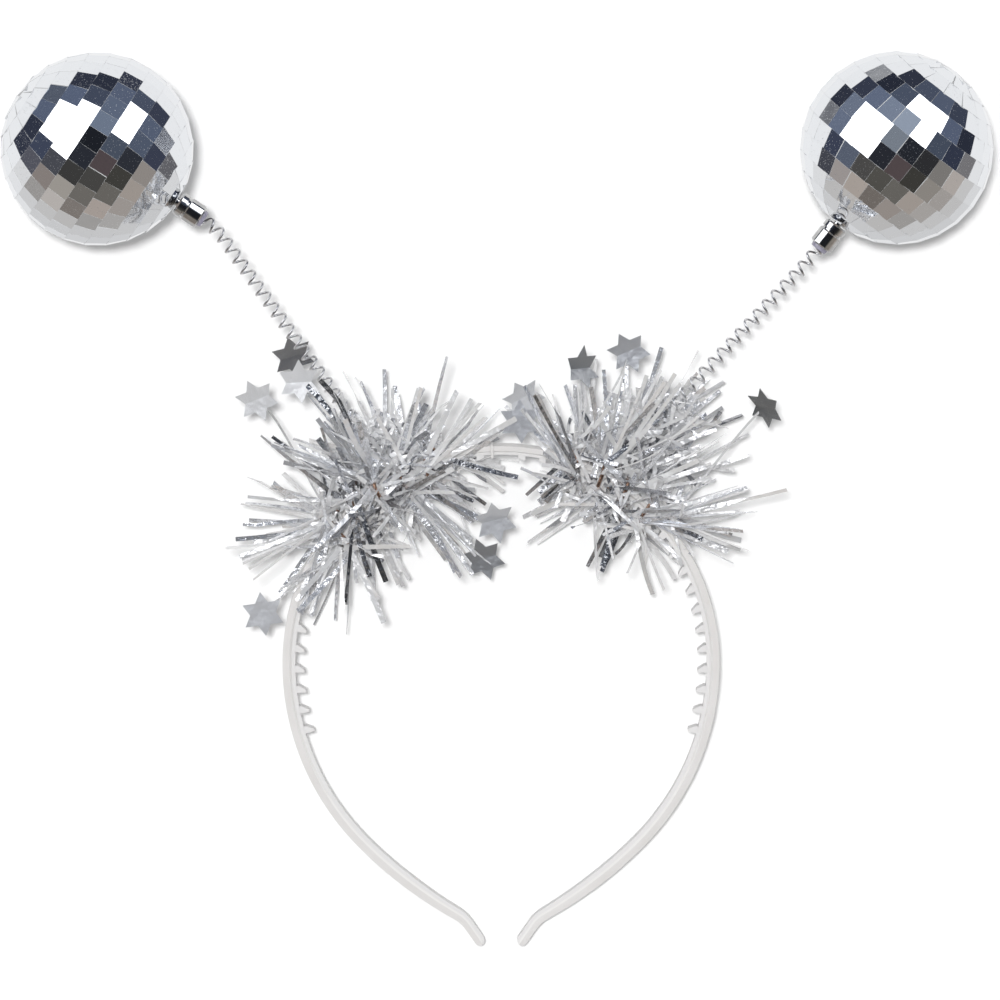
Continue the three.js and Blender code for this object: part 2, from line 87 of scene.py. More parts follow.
def edgeAt(distance):    # place on the outer edge, with the inward and tipward directions
    sign = -1 if distance < 0 else 1
    left = abs(distance)
    heading = 0.0
    place = Vector((0, band["crownRadius"], 0))
    for radius, sweep in bandArcs:
        turned = min(sweep, left / abs(radius))
        place += Vector((-math.sin(heading), -math.cos(heading), 0)) * radius
        heading += math.copysign(turned, radius)
        place += Vector((math.sin(heading), math.cos(heading), 0)) * radius
        left -= abs(radius) * turned
        if left <= 0:
            break
    place += Vector((math.cos(heading), -math.sin(heading), 0)) * max(left, 0)
    place.x *= sign
    inward = Vector((-math.sin(heading) * sign, -math.cos(heading), 0))
    along = Vector((math.cos(heading) * sign, -math.sin(heading), 0))
    return place, inward, along


def bandThicknessAt(distance):
    run = abs(distance) / halfLength
    body = lerp(band["crownThickness"], band["armThickness"], smoothStep(run, 0.1, 0.5))
    return lerp(body, band["tipThickness"], smoothStep(run, 0.85, 1))


def bandDepthAt(distance):
    return lerp(band["crownDepth"], band["tipDepth"], smoothStep(abs(distance) / halfLength, 0.3, 1))


# Springs, and where the balls come

spring = {
    "diameter": 3.9, "wire": 0.66, "pitch": 3.5, "length": 84,
    "rootAngle": 30, "bendLength": 9, "insert": 3, "clearance": 0.3,
    "wireCorners": 8, "stepsPerTurn": 26, "lean": -0.1, "creaseAngle": 60,
}
ball = {
    "diameter": 51.2, "rows": 14, "columns": 30, "poleTiles": 4,
    "tileThickness": 0.9, "tileGap": 0.02, "tilt": 0.6, "taper": 0.95,
    "edge": 0.02, "wideEdge": 0.16, "wideShare": 0.16, "tileNear": 0.09,
    "coreGap": 0.12, "coreSteps": 48, "coreRows": 32, "shank": 2.4,
    "toneRange": (0.2, 0.9), "leastWidth": 0.5, "creaseAngle": 12,
}
collar = {
    "ringDiameter": 6.3, "ringLength": 2, "grooveDepth": 0.45, "grooveLength": 0.4,
    "barrelWall": 1.05, "barrelLength": 4.6, "chamfer": 0.4, "steps": 60, "facets": 12,
    "shankOut": 1, "ringRound": 0.2, "facetSpare": 0.02, "creaseAngle": 34,
    "sleeveLength": 1.1, "sleeveWall": 0.1, "sleeveTaper": 0.15, "sleeveInside": 0.5,
    "sleeveStep": 0.3, "sleeveRound": 0.2, "sleeveTip": 0.05, "sleeveCrease": 30,
}
collarLength = collar["ringLength"] + collar["grooveLength"] + collar["barrelLength"]
ballRadius = ball["diameter"] / 2

# Fans: where on the winding they start, heading in degrees, length, number of strips and look.
# Frost and painted reflection tiles: a place on the ball as seen from above, in radii, and the tone of the
# tile there; tones near 1 are frosty, tone 0 paints a warm reflection and tones 0.05 to 0.14 paint slate-blue
# reflections.
sides = {
    "left": {"sign": -1, "lean": 5.4, "bend": 21, "stretch": 1.012, "windFrom": 15, "windTo": 54,
             "drift": (-0.2, 0.08, 0.05), "reach": (1.12, 0.95, 0.95, 1.0),
             "upSpring": 12, "springShare": 0.5,
             "tileSeed": 2100, "stripSeed": 41, "fans": [
                 (0.35, -43, 28, 14, "bright"), (0.1, -33, 26, 3, "dark"), (0.05, -8, 20, 7, "pale"),
                 (0.2, 26, 26, 7, "mixed"), (0.15, 38, 29, 3, "pale"), (0.15, 50, 28, 3, "mixed"),
                 (0.3, 72, 26, 5, "mixed"), (0.45, 92, 29, 4, "bright"), (0.5, 106, 29, 3, "dark"),
                 (0.6, 119, 28, 2, "dark"), (0.3, -28, 26, 6, "mixed"),
                 (0.5, 136, 24, 8, "bright"), (0.5, 150, 27, 8, "bright"),
                 (0.6, 162, 28, 5, "mixed"), (0.7, 148, 32, 2, "dark"), (0.8, 170, 32, 4, "mixed"),
                 (0.8, 186, 30, 6, "mixed"), (0.9, 199, 27, 5, "mixed"), (0.95, 214, 25, 5, "bright"),
                 (1.0, 236, 22, 8, "mixed"), (0.9, 256, 25, 6, "bright"), (0.7, 283, 25, 3, "dark"),
                 (0.65, 298, 28, 6, "mixed"), (0.4, 318, 24, 6, "mixed"), (0.45, -60, 22, 5, "bright")],
             "frostAndPaintedReflectionTiles": [(0.05, -0.14, 0.0), (0.66, 0.07, 1.0), (-0.62, -0.4, 1.0), (0.14, 0.53, 0.9),
                           (0.05, 0.31, 0.07), (-0.25, 0.5, 0.05), (-0.4, 0.52, 0.06), (-0.56, 0.33, 0.05)]},
    "right": {"sign": 1, "lean": 12.8, "bend": -5, "stretch": 0.98, "windFrom": 18, "windTo": 50,
              "drift": (0.3, 0.1, 0.05), "reach": (0.8, 1.25, 0.58, 0.95), "upSpring": 24, "springShare": 1.0,
              "tileSeed": 787, "stripSeed": 67, "fans": [
                  (0.05, 213, 15, 3, "dark"), (0.1, 202, 13, 4, "dark"), (0.2, 226, 16, 4, "mixed"),
                  (0.4, 212, 23, 8, "mixed"), (0.5, 238, 16, 8, "bright"), (0.6, 250, 15, 6, "dark"),
                  (0.7, 290, 14, 4, "pale"), (0.9, 324, 15, 6, "bright"), (1.0, 336, 23, 3, "pale"),
                  (0.9, 352, 28, 6, "mixed"), (0.8, 5, 31, 7, "bright"), (0.8, 19, 38, 4, "pale"),
                  (0.7, 31, 31, 6, "mixed"), (0.45, 45, 33, 16, "bright"), (0.3, 60, 30, 8, "mixed"),
                  (0.3, 76, 27, 6, "bright"), (0.2, 92, 27, 6, "mixed"), (0.1, 108, 26, 5, "bright"),
                  (0.1, 118, 28, 4, "mixed"), (0.1, 117, 33, 2, "dark"), (0.5, 37, 25, 8, "mixed"),
                  (0.55, 20, 25, 6, "mixed")],
              "frostAndPaintedReflectionTiles": [(0.04, -0.17, 0.0), (0.54, 0.27, 0.93), (0.2, -0.05, 0.9), (-0.08, 0.4, 0.09),
                            (-0.02, 0.12, 0.11), (0.1, 0.31, 0.14), (0.43, 0.09, 0.1), (-0.62, 0.3, 0.07),
                            (-0.48, 0.48, 0.08), (-0.22, 0.5, 0.06), (0.16, 0.55, 0.09),
                            (-0.5, -0.02, 0.06)]},
}


def springAxis(side):    # returns the centre line as a function of the distance, and its length
    root = edgeAt(side["sign"] * math.radians(spring["rootAngle"]) * band["crownRadius"])[0]
    startAngle = spring["rootAngle"] + side["lean"]
    length = spring["length"] * side["stretch"]
    straight = length - spring["bendLength"]
    bendRadius = spring["bendLength"] / math.radians(side["bend"])

    def direction(angle):
        turn = math.radians(angle)
        return Vector((side["sign"] * math.sin(turn), math.cos(turn), 0))

    def at(s):
        share = min(max((s - straight) / spring["bendLength"], 0), 1)
        angle = startAngle + side["bend"] * share
        place = root + direction(startAngle) * min(s, straight)
        if s > straight:
            place += direction(startAngle + 90) * bendRadius
            place -= direction(angle + 90) * bendRadius
            place += direction(angle) * max(s - length, 0)
        return place, direction(angle), direction(angle + 90)

    return at, length


def ballCentre(side):
    at, length = springAxis(side)
    place, direction, across = at(length)
    return place + direction * (collarLength + spring["clearance"] + ballRadius)


# How the rigid whole lies: the balls and the band's ends share one plane
ballUp = (ballCentre(sides["left"]).y + ballCentre(sides["right"]).y) / 2
tipDown = edgeAt(halfLength)[0].y
lieAngle = math.asin((ballRadius - band["tipDepth"] / 2) / (ballUp - tipDown))
lying = Matrix.Rotation(lieAngle, 4, "X")


def boxMiddle(node):
    low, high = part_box(node)
    return (low + high) / 2


shift = Vector((0, 0, 0))
for name, side in sides.items():
    shift += (boxMiddle("ball_" + name) - (lying @ ballCentre(side)) * mm) / len(sides)
onTable = Matrix.Translation(shift) @ lying @ Matrix.Scale(mm, 4)
print("lies at", round(math.degrees(lieAngle), 3), "degrees, shifted by", [round(v, 5) for v in shift])


# Mesh helpers

def growRing(bm, ring, places):    # extrudes a closed ring and sets its new vertices
    edges = [bm.edges.get((ring[i - 1], ring[i])) for i in range(len(ring))]
    grown = bmesh.ops.extrude_edge_only(bm, edges=edges)["geom"]
    fresh = {item for item in grown if isinstance(item, bmesh.types.BMVert)}
    following = []
    for vert in ring:
        following.append(next(e.other_vert(vert) for e in vert.link_edges if e.other_vert(vert) in fresh))
    for vert, place in zip(following, places):
        vert.co = place
    return following


def firstRing(bm, places):
    ring = [bm.verts.new(place) for place in places]
    for i in range(len(ring)):
        bm.edges.new((ring[i - 1], ring[i]))
    return ring


def sweepRings(bm, placesList):    # a closed tube through a list of rings
    ring = firstRing(bm, placesList[0])
    rings = [ring]
    for places in placesList[1:]:
        ring = growRing(bm, ring, places)
        rings.append(ring)
    bm.faces.new(rings[0])
    bm.faces.new(rings[-1])
    return rings


def lathe(bm, profile, steps):    # spins (radius, height) points round Z
    verts = [bm.verts.new((radius, 0, height)) for radius, height in profile]
    edges = [bm.edges.new(pair) for pair in zip(verts, verts[1:])]
    bmesh.ops.spin(bm, geom=verts + edges, cent=(0, 0, 0), axis=(0, 0, 1), dvec=(0, 0, 0),
                   angle=2 * math.pi, steps=steps, use_merge=True, use_duplicate=False)
    bmesh.ops.remove_doubles(bm, verts=bm.verts, dist=0.0005)


def standing(place, direction):    # a placement whose Z points along a direction
    return Matrix.Translation(place) @ direction.to_track_quat("Z", "Y").to_matrix().to_4x4()


def addPiece(name, bm, material, creaseAngle, nodes):
    bmesh.ops.recalc_face_normals(bm, faces=bm.faces)
    limit = math.radians(creaseAngle)
    for face in bm.faces:
        face.smooth = True
    for edge in bm.edges:
        edge.smooth = edge.calc_face_angle(0) < limit
    bm.transform(onTable)
    mesh = bpy.data.meshes.new(name)
    bm.to_mesh(mesh)
    bm.free()
    return addMesh(name, mesh, material, nodes)


def addMesh(name, mesh, material, nodes):
    mesh.materials.append(material)
    piece = bpy.data.objects.new(name, mesh)
    bpy.context.scene.collection.objects.link(piece)
    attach(piece, "root")
    if nodes:
        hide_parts(*nodes)
    print("  ", name, len(mesh.polygons), "faces")
    return piece


# Material helpers

def newMaterial(name):
    material = bpy.data.materials.new(name)
    material.use_nodes = True
    return material, material.node_tree.nodes, material.node_tree.links


def addNode(nodes, kind, **values):    # values go to the node's settings or to its sockets
    node = nodes.new(kind)
    for key, value in values.items():
        if hasattr(node, key):
            setattr(node, key, value)
        else:
            node.inputs[key].default_value = value
    return node


def rampNode(nodes, stops):
    ramp = nodes.new("ShaderNodeValToRGB")
    while len(ramp.color_ramp.elements) < len(stops):
        ramp.color_ramp.elements.new(0.5)
    for element, (position, colour) in zip(ramp.color_ramp.elements, stops):
        element.position = position
        element.color = (*colour, 1)
    return ramp

def greyRamp(nodes, stops):    # a ramp of levels instead of colours
    return rampNode(nodes, [(position, (level, level, level)) for position, level in stops])

def rangeNode(nodes, ends, results=(0, 1), **values):
    node = addNode(nodes, "ShaderNodeMapRange", **values)
    for socket, value in zip(("From Min", "From Max", "To Min", "To Max"), (*ends, *results)):
        node.inputs[socket].default_value = value
    return node

def joinUp(links, routes):    # each route: a node, its output, the next node and its input
    for source, output, target, socket in routes:
        links.new(source.outputs[output], target.inputs[socket])

# Materials

bandLook = {
    "colour": (0.665, 0.652, 0.645), "shade": (0.635, 0.62, 0.61), "lip": (0.69, 0.682, 0.68),
    # paintedLightWall: painted light, a lighter colour on the steep wall down to the inner lip that lifts the
    # shade the overhead light leaves there
    "paintedLightWall": (0.74, 0.73, 0.72),
    "roughness": 0.42, "glow": 0.15, "glowColour": (1.0, 0.95, 0.9), "glowReach": 0.002,
    "cloudScale": 90, "grainScale": 2600, "bump": 0.06,
}


def makeBandPlastic():
    material, nodes, links = newMaterial("milkyPlastic")
    shader = nodes["Principled BSDF"]
    shader.inputs["Roughness"].default_value = bandLook["roughness"]
    shader.inputs["Subsurface Weight"].default_value = bandLook["glow"]
    shader.inputs["Subsurface Radius"].default_value = bandLook["glowColour"]
    shader.inputs["Subsurface Scale"].default_value = bandLook["glowReach"]
    place = nodes.new("ShaderNodeTexCoord")
    cloud = addNode(nodes, "ShaderNodeTexNoise", Scale=bandLook["cloudScale"], Detail=3)
    grain = addNode(nodes, "ShaderNodeTexNoise", Scale=bandLook["grainScale"], Detail=2)
    ramp = rampNode(nodes, [(0.3, bandLook["shade"]), (0.65, bandLook["colour"])])
    bump = addNode(nodes, "ShaderNodeBump", Strength=bandLook["bump"], Distance=0.0002)
    lip = addNode(nodes, "ShaderNodeAttribute", attribute_name="lip")
    # lip faces (0.5) take the lip colour; the steep wall (1) takes a lighter colour, painted light against
    # its shade
    inside = rampNode(nodes, [(0.5, bandLook["lip"]), (1.0, bandLook["paintedLightWall"])])
    twice = addNode(nodes, "ShaderNodeMath", operation="MULTIPLY", use_clamp=True)
    twice.inputs[1].default_value = 2
    colour = addNode(nodes, "ShaderNodeMix", data_type="RGBA")
    joinUp(links, [
        (place, "Object", cloud, "Vector"),
        (place, "Object", grain, "Vector"),
        (cloud, "Fac", ramp, "Fac"),
        (lip, "Fac", inside, "Fac"),
        (lip, "Fac", twice, 0),
        (twice, "Value", colour, "Factor"),
        (ramp, "Color", colour, 6),
        (inside, "Color", colour, 7),
        (colour, 2, shader, "Base Color"),
        (grain, "Fac", bump, "Height"),
        (bump, "Normal", shader, "Normal"),
    ])
    return material


def makeMetal(name, look):    # bright metal with fine scratches and a faint cloudy roughness
    material, nodes, links = newMaterial(name)
    shader = nodes["Principled BSDF"]
    shader.inputs["Metallic"].default_value = 1
    place = nodes.new("ShaderNodeTexCoord")
    cloud = addNode(nodes, "ShaderNodeTexNoise", Scale=look["cloudScale"], Detail=4)
    rough = rangeNode(nodes, (0, 1), (look["smooth"], look["rough"]))
    ramp = rampNode(nodes, [(0.3, look["dull"]), (0.7, look["bright"])])
    scratch = addNode(nodes, "ShaderNodeTexNoise", Scale=look["scratchScale"], Detail=5)
    bump = addNode(nodes, "ShaderNodeBump", Strength=look["bump"], Distance=0.0001)
    joinUp(links, [
        (place, "Object", cloud, "Vector"),
        (place, "Object", scratch, "Vector"),
        (cloud, "Fac", rough, "Value"),
        (rough, "Result", shader, "Roughness"),
        (cloud, "Fac", ramp, "Fac"),
        (ramp, "Color", shader, "Base Color"),
        (scratch, "Fac", bump, "Height"),
        (bump, "Normal", shader, "Normal"),
    ])
    return material


mirrorLook = {
    "glass": (0.90, 0.92, 0.95), "warmPaintedReflection": (0.58, 0.46, 0.48), "edge": (0.60, 0.61, 0.62),
    "slatePaintedReflection": (0.66, 0.75, 0.88),
    "paintedReflectionShare": ((0.0, 0.07), (0.04, 0.04), (0.14, 0.30), (0.18, 0)),    # by tone, like the frost: how much of the painted reflection tint shows through the metal
    "frost": ((0.0, 0.9), (0.04, 0), (0.94, 0), (0.99, 0.6)),
    "clear": 0.02, "frosty": 0.34, "speckScale": 2600, "speckFrom": 0.70, "speckTo": 0.75,
    "speckSpread": 0.11, "waveScale": 160, "wave": 0.03,
}


def makeMirror():    # tone says how clear each tile is, and low tones paint a reflection into the tile, warm at 0 and slate blue up to 0.14; rim marks its cut edges
    material, nodes, links = newMaterial("mirrorGlass")
    shader = nodes["Principled BSDF"]
    place = nodes.new("ShaderNodeTexCoord")
    tone = addNode(nodes, "ShaderNodeAttribute", attribute_name="tone")
    rim = addNode(nodes, "ShaderNodeAttribute", attribute_name="rim")
    speck = addNode(nodes, "ShaderNodeTexNoise", Scale=mirrorLook["speckScale"], Detail=2)
    wave = addNode(nodes, "ShaderNodeTexNoise", Scale=mirrorLook["waveScale"], Detail=1)
    glass, slatePaintedReflection = mirrorLook["glass"], mirrorLook["slatePaintedReflection"]
    # painted reflections: tone 0 tints a tile warm, tones up to 0.14 tint it slate blue
    tint = rampNode(nodes, [(0.0, mirrorLook["warmPaintedReflection"]), (0.04, slatePaintedReflection), (0.14, slatePaintedReflection), (0.18, glass)])
    paintedReflectionShare = greyRamp(nodes, mirrorLook["paintedReflectionShare"])
    plain = addNode(nodes, "ShaderNodeMath", operation="ADD", use_clamp=True)
    frost = greyRamp(nodes, mirrorLook["frost"])
    metal = addNode(nodes, "ShaderNodeMath", operation="SUBTRACT")
    metal.inputs[0].default_value = 1
    dusty = addNode(nodes, "ShaderNodeMath", operation="MULTIPLY_ADD")
    dusty.inputs[1].default_value = mirrorLook["speckSpread"]
    dots = greyRamp(nodes, ((mirrorLook["speckFrom"], 0), (mirrorLook["speckTo"], 1)))
    dust = addNode(nodes, "ShaderNodeMath", operation="ADD", use_clamp=True)
    worn = addNode(nodes, "ShaderNodeMath", operation="ADD", use_clamp=True)
    rough = rangeNode(nodes, (0, 1), (mirrorLook["clear"], mirrorLook["frosty"]))
    colour = addNode(nodes, "ShaderNodeMix", data_type="RGBA")
    colour.inputs[7].default_value = (*mirrorLook["edge"], 1)
    bump = addNode(nodes, "ShaderNodeBump", Strength=mirrorLook["wave"], Distance=0.0003)
    joinUp(links, [
        (place, "Object", speck, "Vector"),
        (place, "Object", wave, "Vector"),
        (tone, "Fac", tint, "Fac"),
        (tone, "Fac", frost, "Fac"),
        (tone, "Fac", dusty, 0),
        (speck, "Fac", dusty, 2),
        (dusty, "Value", dots, "Fac"),
        (frost, "Color", dust, 0),
        (dots, "Color", dust, 1),
        (dust, "Value", worn, 0),
        (rim, "Fac", worn, 1),
        (worn, "Value", rough, "Value"),
        (rough, "Result", shader, "Roughness"),
        (tone, "Fac", paintedReflectionShare, "Fac"),
        (paintedReflectionShare, "Color", plain, 0),
        (rim, "Fac", plain, 1),
        (plain, "Value", metal, 1),
        (metal, "Value", shader, "Metallic"),
        (rim, "Fac", colour, "Factor"),
        (tint, "Color", colour, 6),
        (colour, 2, shader, "Base Color"),
        (wave, "Fac", bump, "Height"),
        (bump, "Normal", shader, "Normal"),
    ])
    return material


foilLook = {
    "pale": (0.97, 0.97, 0.975), "blue": (0.86, 0.88, 0.92),
    "dark": (0.50, 0.51, 0.53), "brown": (0.42, 0.27, 0.20),
    "bare": 0.96, "hazy": 0.84, "milky": 0.5,
    "smooth": 0.07, "rough": 0.26, "crinkleScale": 560, "crinkle": 1.0, "crinkleDepth": 0.0005,
}


def makeTinselFoil():    # tone changes from strip to strip: brown, dark, blue-white and milky
    material, nodes, links = newMaterial("tinselFoil")
    shader = nodes["Principled BSDF"]
    place = nodes.new("ShaderNodeTexCoord")
    tone = addNode(nodes, "ShaderNodeAttribute", attribute_name="tone")
    crinkle = addNode(nodes, "ShaderNodeTexNoise", Scale=foilLook["crinkleScale"], Detail=3)
    tint = rampNode(nodes, [
        (0.0, foilLook["brown"]), (0.02, foilLook["dark"]), (0.13, foilLook["dark"]),
        (0.16, foilLook["blue"]), (0.5, foilLook["pale"])])
    metal = greyRamp(nodes, ((0.14, foilLook["bare"]), (0.17, foilLook["hazy"]), (0.75, foilLook["milky"])))
    rough = rangeNode(nodes, (0, 1), (foilLook["smooth"], foilLook["rough"]))
    bump = addNode(nodes, "ShaderNodeBump", Strength=foilLook["crinkle"], Distance=foilLook["crinkleDepth"])
    joinUp(links, [
        (place, "Object", crinkle, "Vector"),
        (tone, "Fac", tint, "Fac"),
        (tone, "Fac", metal, "Fac"),
        (metal, "Color", shader, "Metallic"),
        (tint, "Color", shader, "Base Color"),
        (crinkle, "Fac", rough, "Value"),
        (rough, "Result", shader, "Roughness"),
        (crinkle, "Fac", bump, "Height"),
        (bump, "Normal", shader, "Normal"),
    ])
    return material


starLook = {
    "dark": (0.42, 0.43, 0.44), "middle": (0.72, 0.74, 0.78), "light": (0.90, 0.91, 0.93),
    "bare": 1.0, "hazy": 0.7, "milky": 0.4,
    "smooth": 0.20, "rough": 0.36, "lineScale": 30, "lineBump": 0.6,
    "crumpleScale": 4.5, "crumple": 0.8,
}


def makeStarFoil():    # embossed lines follow the star's own UV map
    material, nodes, links = newMaterial("starFoil")
    shader = nodes["Principled BSDF"]
    flat = nodes.new("ShaderNodeUVMap")
    tone = addNode(nodes, "ShaderNodeAttribute", attribute_name="tone")
    tint = rampNode(nodes, [(0.1, starLook["dark"]), (0.5, starLook["middle"]), (1.0, starLook["light"])])
    metal = greyRamp(nodes, ((0.1, starLook["bare"]), (0.5, starLook["hazy"]), (1.0, starLook["milky"])))
    pattern = addNode(nodes, "ShaderNodeTexWave", Scale=starLook["lineScale"], Distortion=3.0, Detail=2)
    rough = rangeNode(nodes, (0, 1), (starLook["smooth"], starLook["rough"]))
    dents = addNode(nodes, "ShaderNodeTexNoise", Scale=starLook["crumpleScale"], Detail=2)
    crumple = addNode(nodes, "ShaderNodeBump", Strength=starLook["crumple"], Distance=0.0012)
    bump = addNode(nodes, "ShaderNodeBump", Strength=starLook["lineBump"], Distance=0.0002)
    joinUp(links, [
        (flat, "UV", pattern, "Vector"),
        (flat, "UV", dents, "Vector"),
        (dents, "Fac", crumple, "Height"),
        (crumple, "Normal", bump, "Normal"),
        (tone, "Fac", tint, "Fac"),
        (tint, "Color", shader, "Base Color"),
        (tone, "Fac", metal, "Fac"),
        (metal, "Color", shader, "Metallic"),
        (pattern, "Fac", rough, "Value"),
        (rough, "Result", shader, "Roughness"),
        (pattern, "Fac", bump, "Height"),
        (bump, "Normal", shader, "Normal"),
    ])
    return material


steelLook = {
    "dull": (0.66, 0.66, 0.67), "bright": (0.86, 0.86, 0.87), "smooth": 0.22, "rough": 0.36,
    "cloudScale": 400, "scratchScale": 5000, "bump": 0.05,
}
chromeLook = {
    "dull": (0.50, 0.50, 0.50), "bright": (0.68, 0.68, 0.68), "smooth": 0.06, "rough": 0.18,
    "cloudScale": 500, "scratchScale": 2500, "bump": 0.08,
}
pasteLook = {"dull": (0.52, 0.52, 0.53), "bright": (0.62, 0.62, 0.63), "roughness": 0.6, "cloudScale": 600}
sleeveLook = {"dull": (0.20, 0.19, 0.26), "bright": (0.36, 0.35, 0.42), "roughness": 0.25, "cloudScale": 900}


def makePlain(name, look):    # an even surface with faint clouds
    material, nodes, links = newMaterial(name)
    shader = nodes["Principled BSDF"]
    shader.inputs["Roughness"].default_value = look["roughness"]
    place = nodes.new("ShaderNodeTexCoord")
    cloud = addNode(nodes, "ShaderNodeTexNoise", Scale=look["cloudScale"], Detail=3)
    ramp = rampNode(nodes, [(0.35, look["dull"]), (0.65, look["bright"])])
    joinUp(links, [
        (place, "Object", cloud, "Vector"),
        (cloud, "Fac", ramp, "Fac"),
        (ramp, "Color", shader, "Base Color"),
    ])
    return material


milkyPlastic = makeBandPlastic()
springSteel = makeMetal("springSteel", steelLook)
collarChrome = makeMetal("collarChrome", chromeLook)
ballPaste = makePlain("ballPaste", pasteLook)
sleevePlastic = makePlain("sleevePlastic", sleeveLook)
mirrorGlass = makeMirror()
tinselFoil = makeTinselFoil()
starFoil = makeStarFoil()
print("materials made")


# Headband: one sweep from tip to tip, with the teeth drawn out of its inner lip

teeth = {
    "pitch": 5.8, "height": 2.4, "base": 2, "land": 0.7, "heel": 0.6, "length": 223,
    "crownHeight": 1.2, "crownReach": 20, "fullReach": 40,
}
gateRib = {"offset": 2.4, "width": 0.8, "proud": 0.4, "round": 0.2}
peg = {"height": 5, "taper": 0.8, "corners": 24}


def bandSection(distance):    # eight corners of the section at a distance from the crown
    place, inward, along = edgeAt(distance)
    thickness = bandThicknessAt(distance)
    half = bandDepthAt(distance) / 2
    lip = min(band["lipDepth"] / 2, half - band["lipStep"])
    endRound = band["tipThickness"] / 2
    beyond = max(abs(distance) - (halfLength - endRound), 0) / endRound
    narrow = math.sqrt(max(1 - beyond * beyond, band["endLeast"]))
    rows = [(0, half), (band["lipFrom"], half), (band["lipTo"], lip), (1, lip),
            (1, -lip), (band["lipTo"], -lip), (band["lipFrom"], -half), (0, -half)]
    corners = []
    for share, lift in rows:
        inset = (0.5 + (share - 0.5) * narrow) * thickness
        corners.append(place + inward * inset + outOfPlane * lift)
    return corners


def toothStations(centre):    # heel, top of the slope and flat side, seen from the crown
    sign = 1 if centre > 0 else -1
    half = teeth["base"] / 2
    return [centre - sign * half, centre + sign * (half - teeth["land"]), centre + sign * half]


def makeHeadband():
    perHalf = int(teeth["length"] / 2 / teeth["pitch"])
    centres = [i * teeth["pitch"] for i in range(-perHalf, perHalf + 1) if i != 0]
    fixed = [s for centre in centres for s in toothStations(centre)]
    endRound = band["tipThickness"] / 2
    ends = [halfLength - endRound * (1 - math.sin(math.radians(a))) for a in band["endTurns"]]
    fixed += ends + [-s for s in ends]
    count = int(2 * halfLength / band["stationGap"])
    plain = [-halfLength + 2 * halfLength * i / count for i in range(1, count)]
    spare = band["stationSpare"]
    plain = [s for s in plain if min(abs(s - centre) for centre in centres) > teeth["base"] / 2 + spare
             and abs(s) < ends[0] - spare]
    stations = sorted(fixed + plain)
    bm = bmesh.new()
    lip = bm.faces.layers.float.new("lip")
    rings = dict(zip(stations, sweepRings(bm, [bandSection(s) for s in stations])))
    lipVerts = {vert for ring in rings.values() for vert in ring[2:6]}
    paintedLightWallVerts = lipVerts | {vert for ring in rings.values() for vert in (ring[1], ring[6])}
    # lip faces get 0.5; faces of the steep wall down to the lip get 1, which paints light on that wall to
    # lift its shade
    for face in bm.faces:
        if all(vert in lipVerts for vert in face.verts):
            face[lip] = 0.5
        elif all(vert in paintedLightWallVerts for vert in face.verts):
            face[lip] = 1
    for centre in centres:
        height = lerp(teeth["crownHeight"], teeth["height"],
                      smoothStep(abs(centre), teeth["crownReach"], teeth["fullReach"]))
        own = toothStations(centre)
        heights = [min(teeth["heel"], height / 2), height, height]
        feet = [rings[s][3:5] for s in own]
        faces = [bm.faces.get((*feet[i], *reversed(feet[i + 1]))) for i in range(2)]
        marks = [(corner.co.copy(), rise) for pair, rise in zip(feet, heights) for corner in pair]
        inward = edgeAt(centre)[1]
        grown = bmesh.ops.extrude_face_region(bm, geom=faces)["geom"]
        for item in grown:
            if isinstance(item, bmesh.types.BMVert):
                rise = min(marks, key=lambda mark: (mark[0] - item.co).length)[1]
                item.co += inward * rise
    sharp = [edge for edge in bm.edges if edge.calc_face_angle(0) > math.radians(band["creaseAngle"])]
    bmesh.ops.bevel(bm, geom=sharp, offset=band["edgeRound"], segments=band["edgeSegments"], profile=0.5,
                    affect="EDGES", material=-1, clamp_overlap=True)
    # the line left by the mould's gate
    place, inward, along = edgeAt(-gateRib["offset"])
    ribHeight = band["crownThickness"] + teeth["crownHeight"]
    rib = bmesh.ops.create_cube(bm, size=1)["verts"]
    middle = place + inward * (ribHeight / 2 - gateRib["proud"])
    turn = Matrix((along, inward, outOfPlane)).transposed().to_4x4()
    size = Matrix.Diagonal((gateRib["width"], ribHeight, band["crownDepth"] + 2 * gateRib["proud"], 1))
    bmesh.ops.transform(bm, matrix=Matrix.Translation(middle) @ turn @ size, verts=rib)
    ribEdges = list({edge for vert in rib for edge in vert.link_edges})
    bmesh.ops.bevel(bm, geom=ribEdges, offset=gateRib["round"], segments=2, profile=0.5,
                    affect="EDGES", material=-1)
    # pegs inside the springs
    for side in sides.values():
        at, length = springAxis(side)
        place, direction, across = at(0)
        radius = spring["diameter"] / 2 - spring["wire"] - spring["clearance"]
        buried = band["crownThickness"] / 2
        bmesh.ops.create_cone(bm, cap_ends=True, segments=peg["corners"], radius1=radius,
                              radius2=radius * peg["taper"], depth=peg["height"] + buried,
                              matrix=standing(place + direction * (peg["height"] - buried) / 2, direction))
    return addPiece("band_toothed", bm, milkyPlastic, band["creaseAngle"], ["headband"])


makeHeadband()
print("headband made")


# Springs: a round wire spun up a screw, then laid along the bent centre line

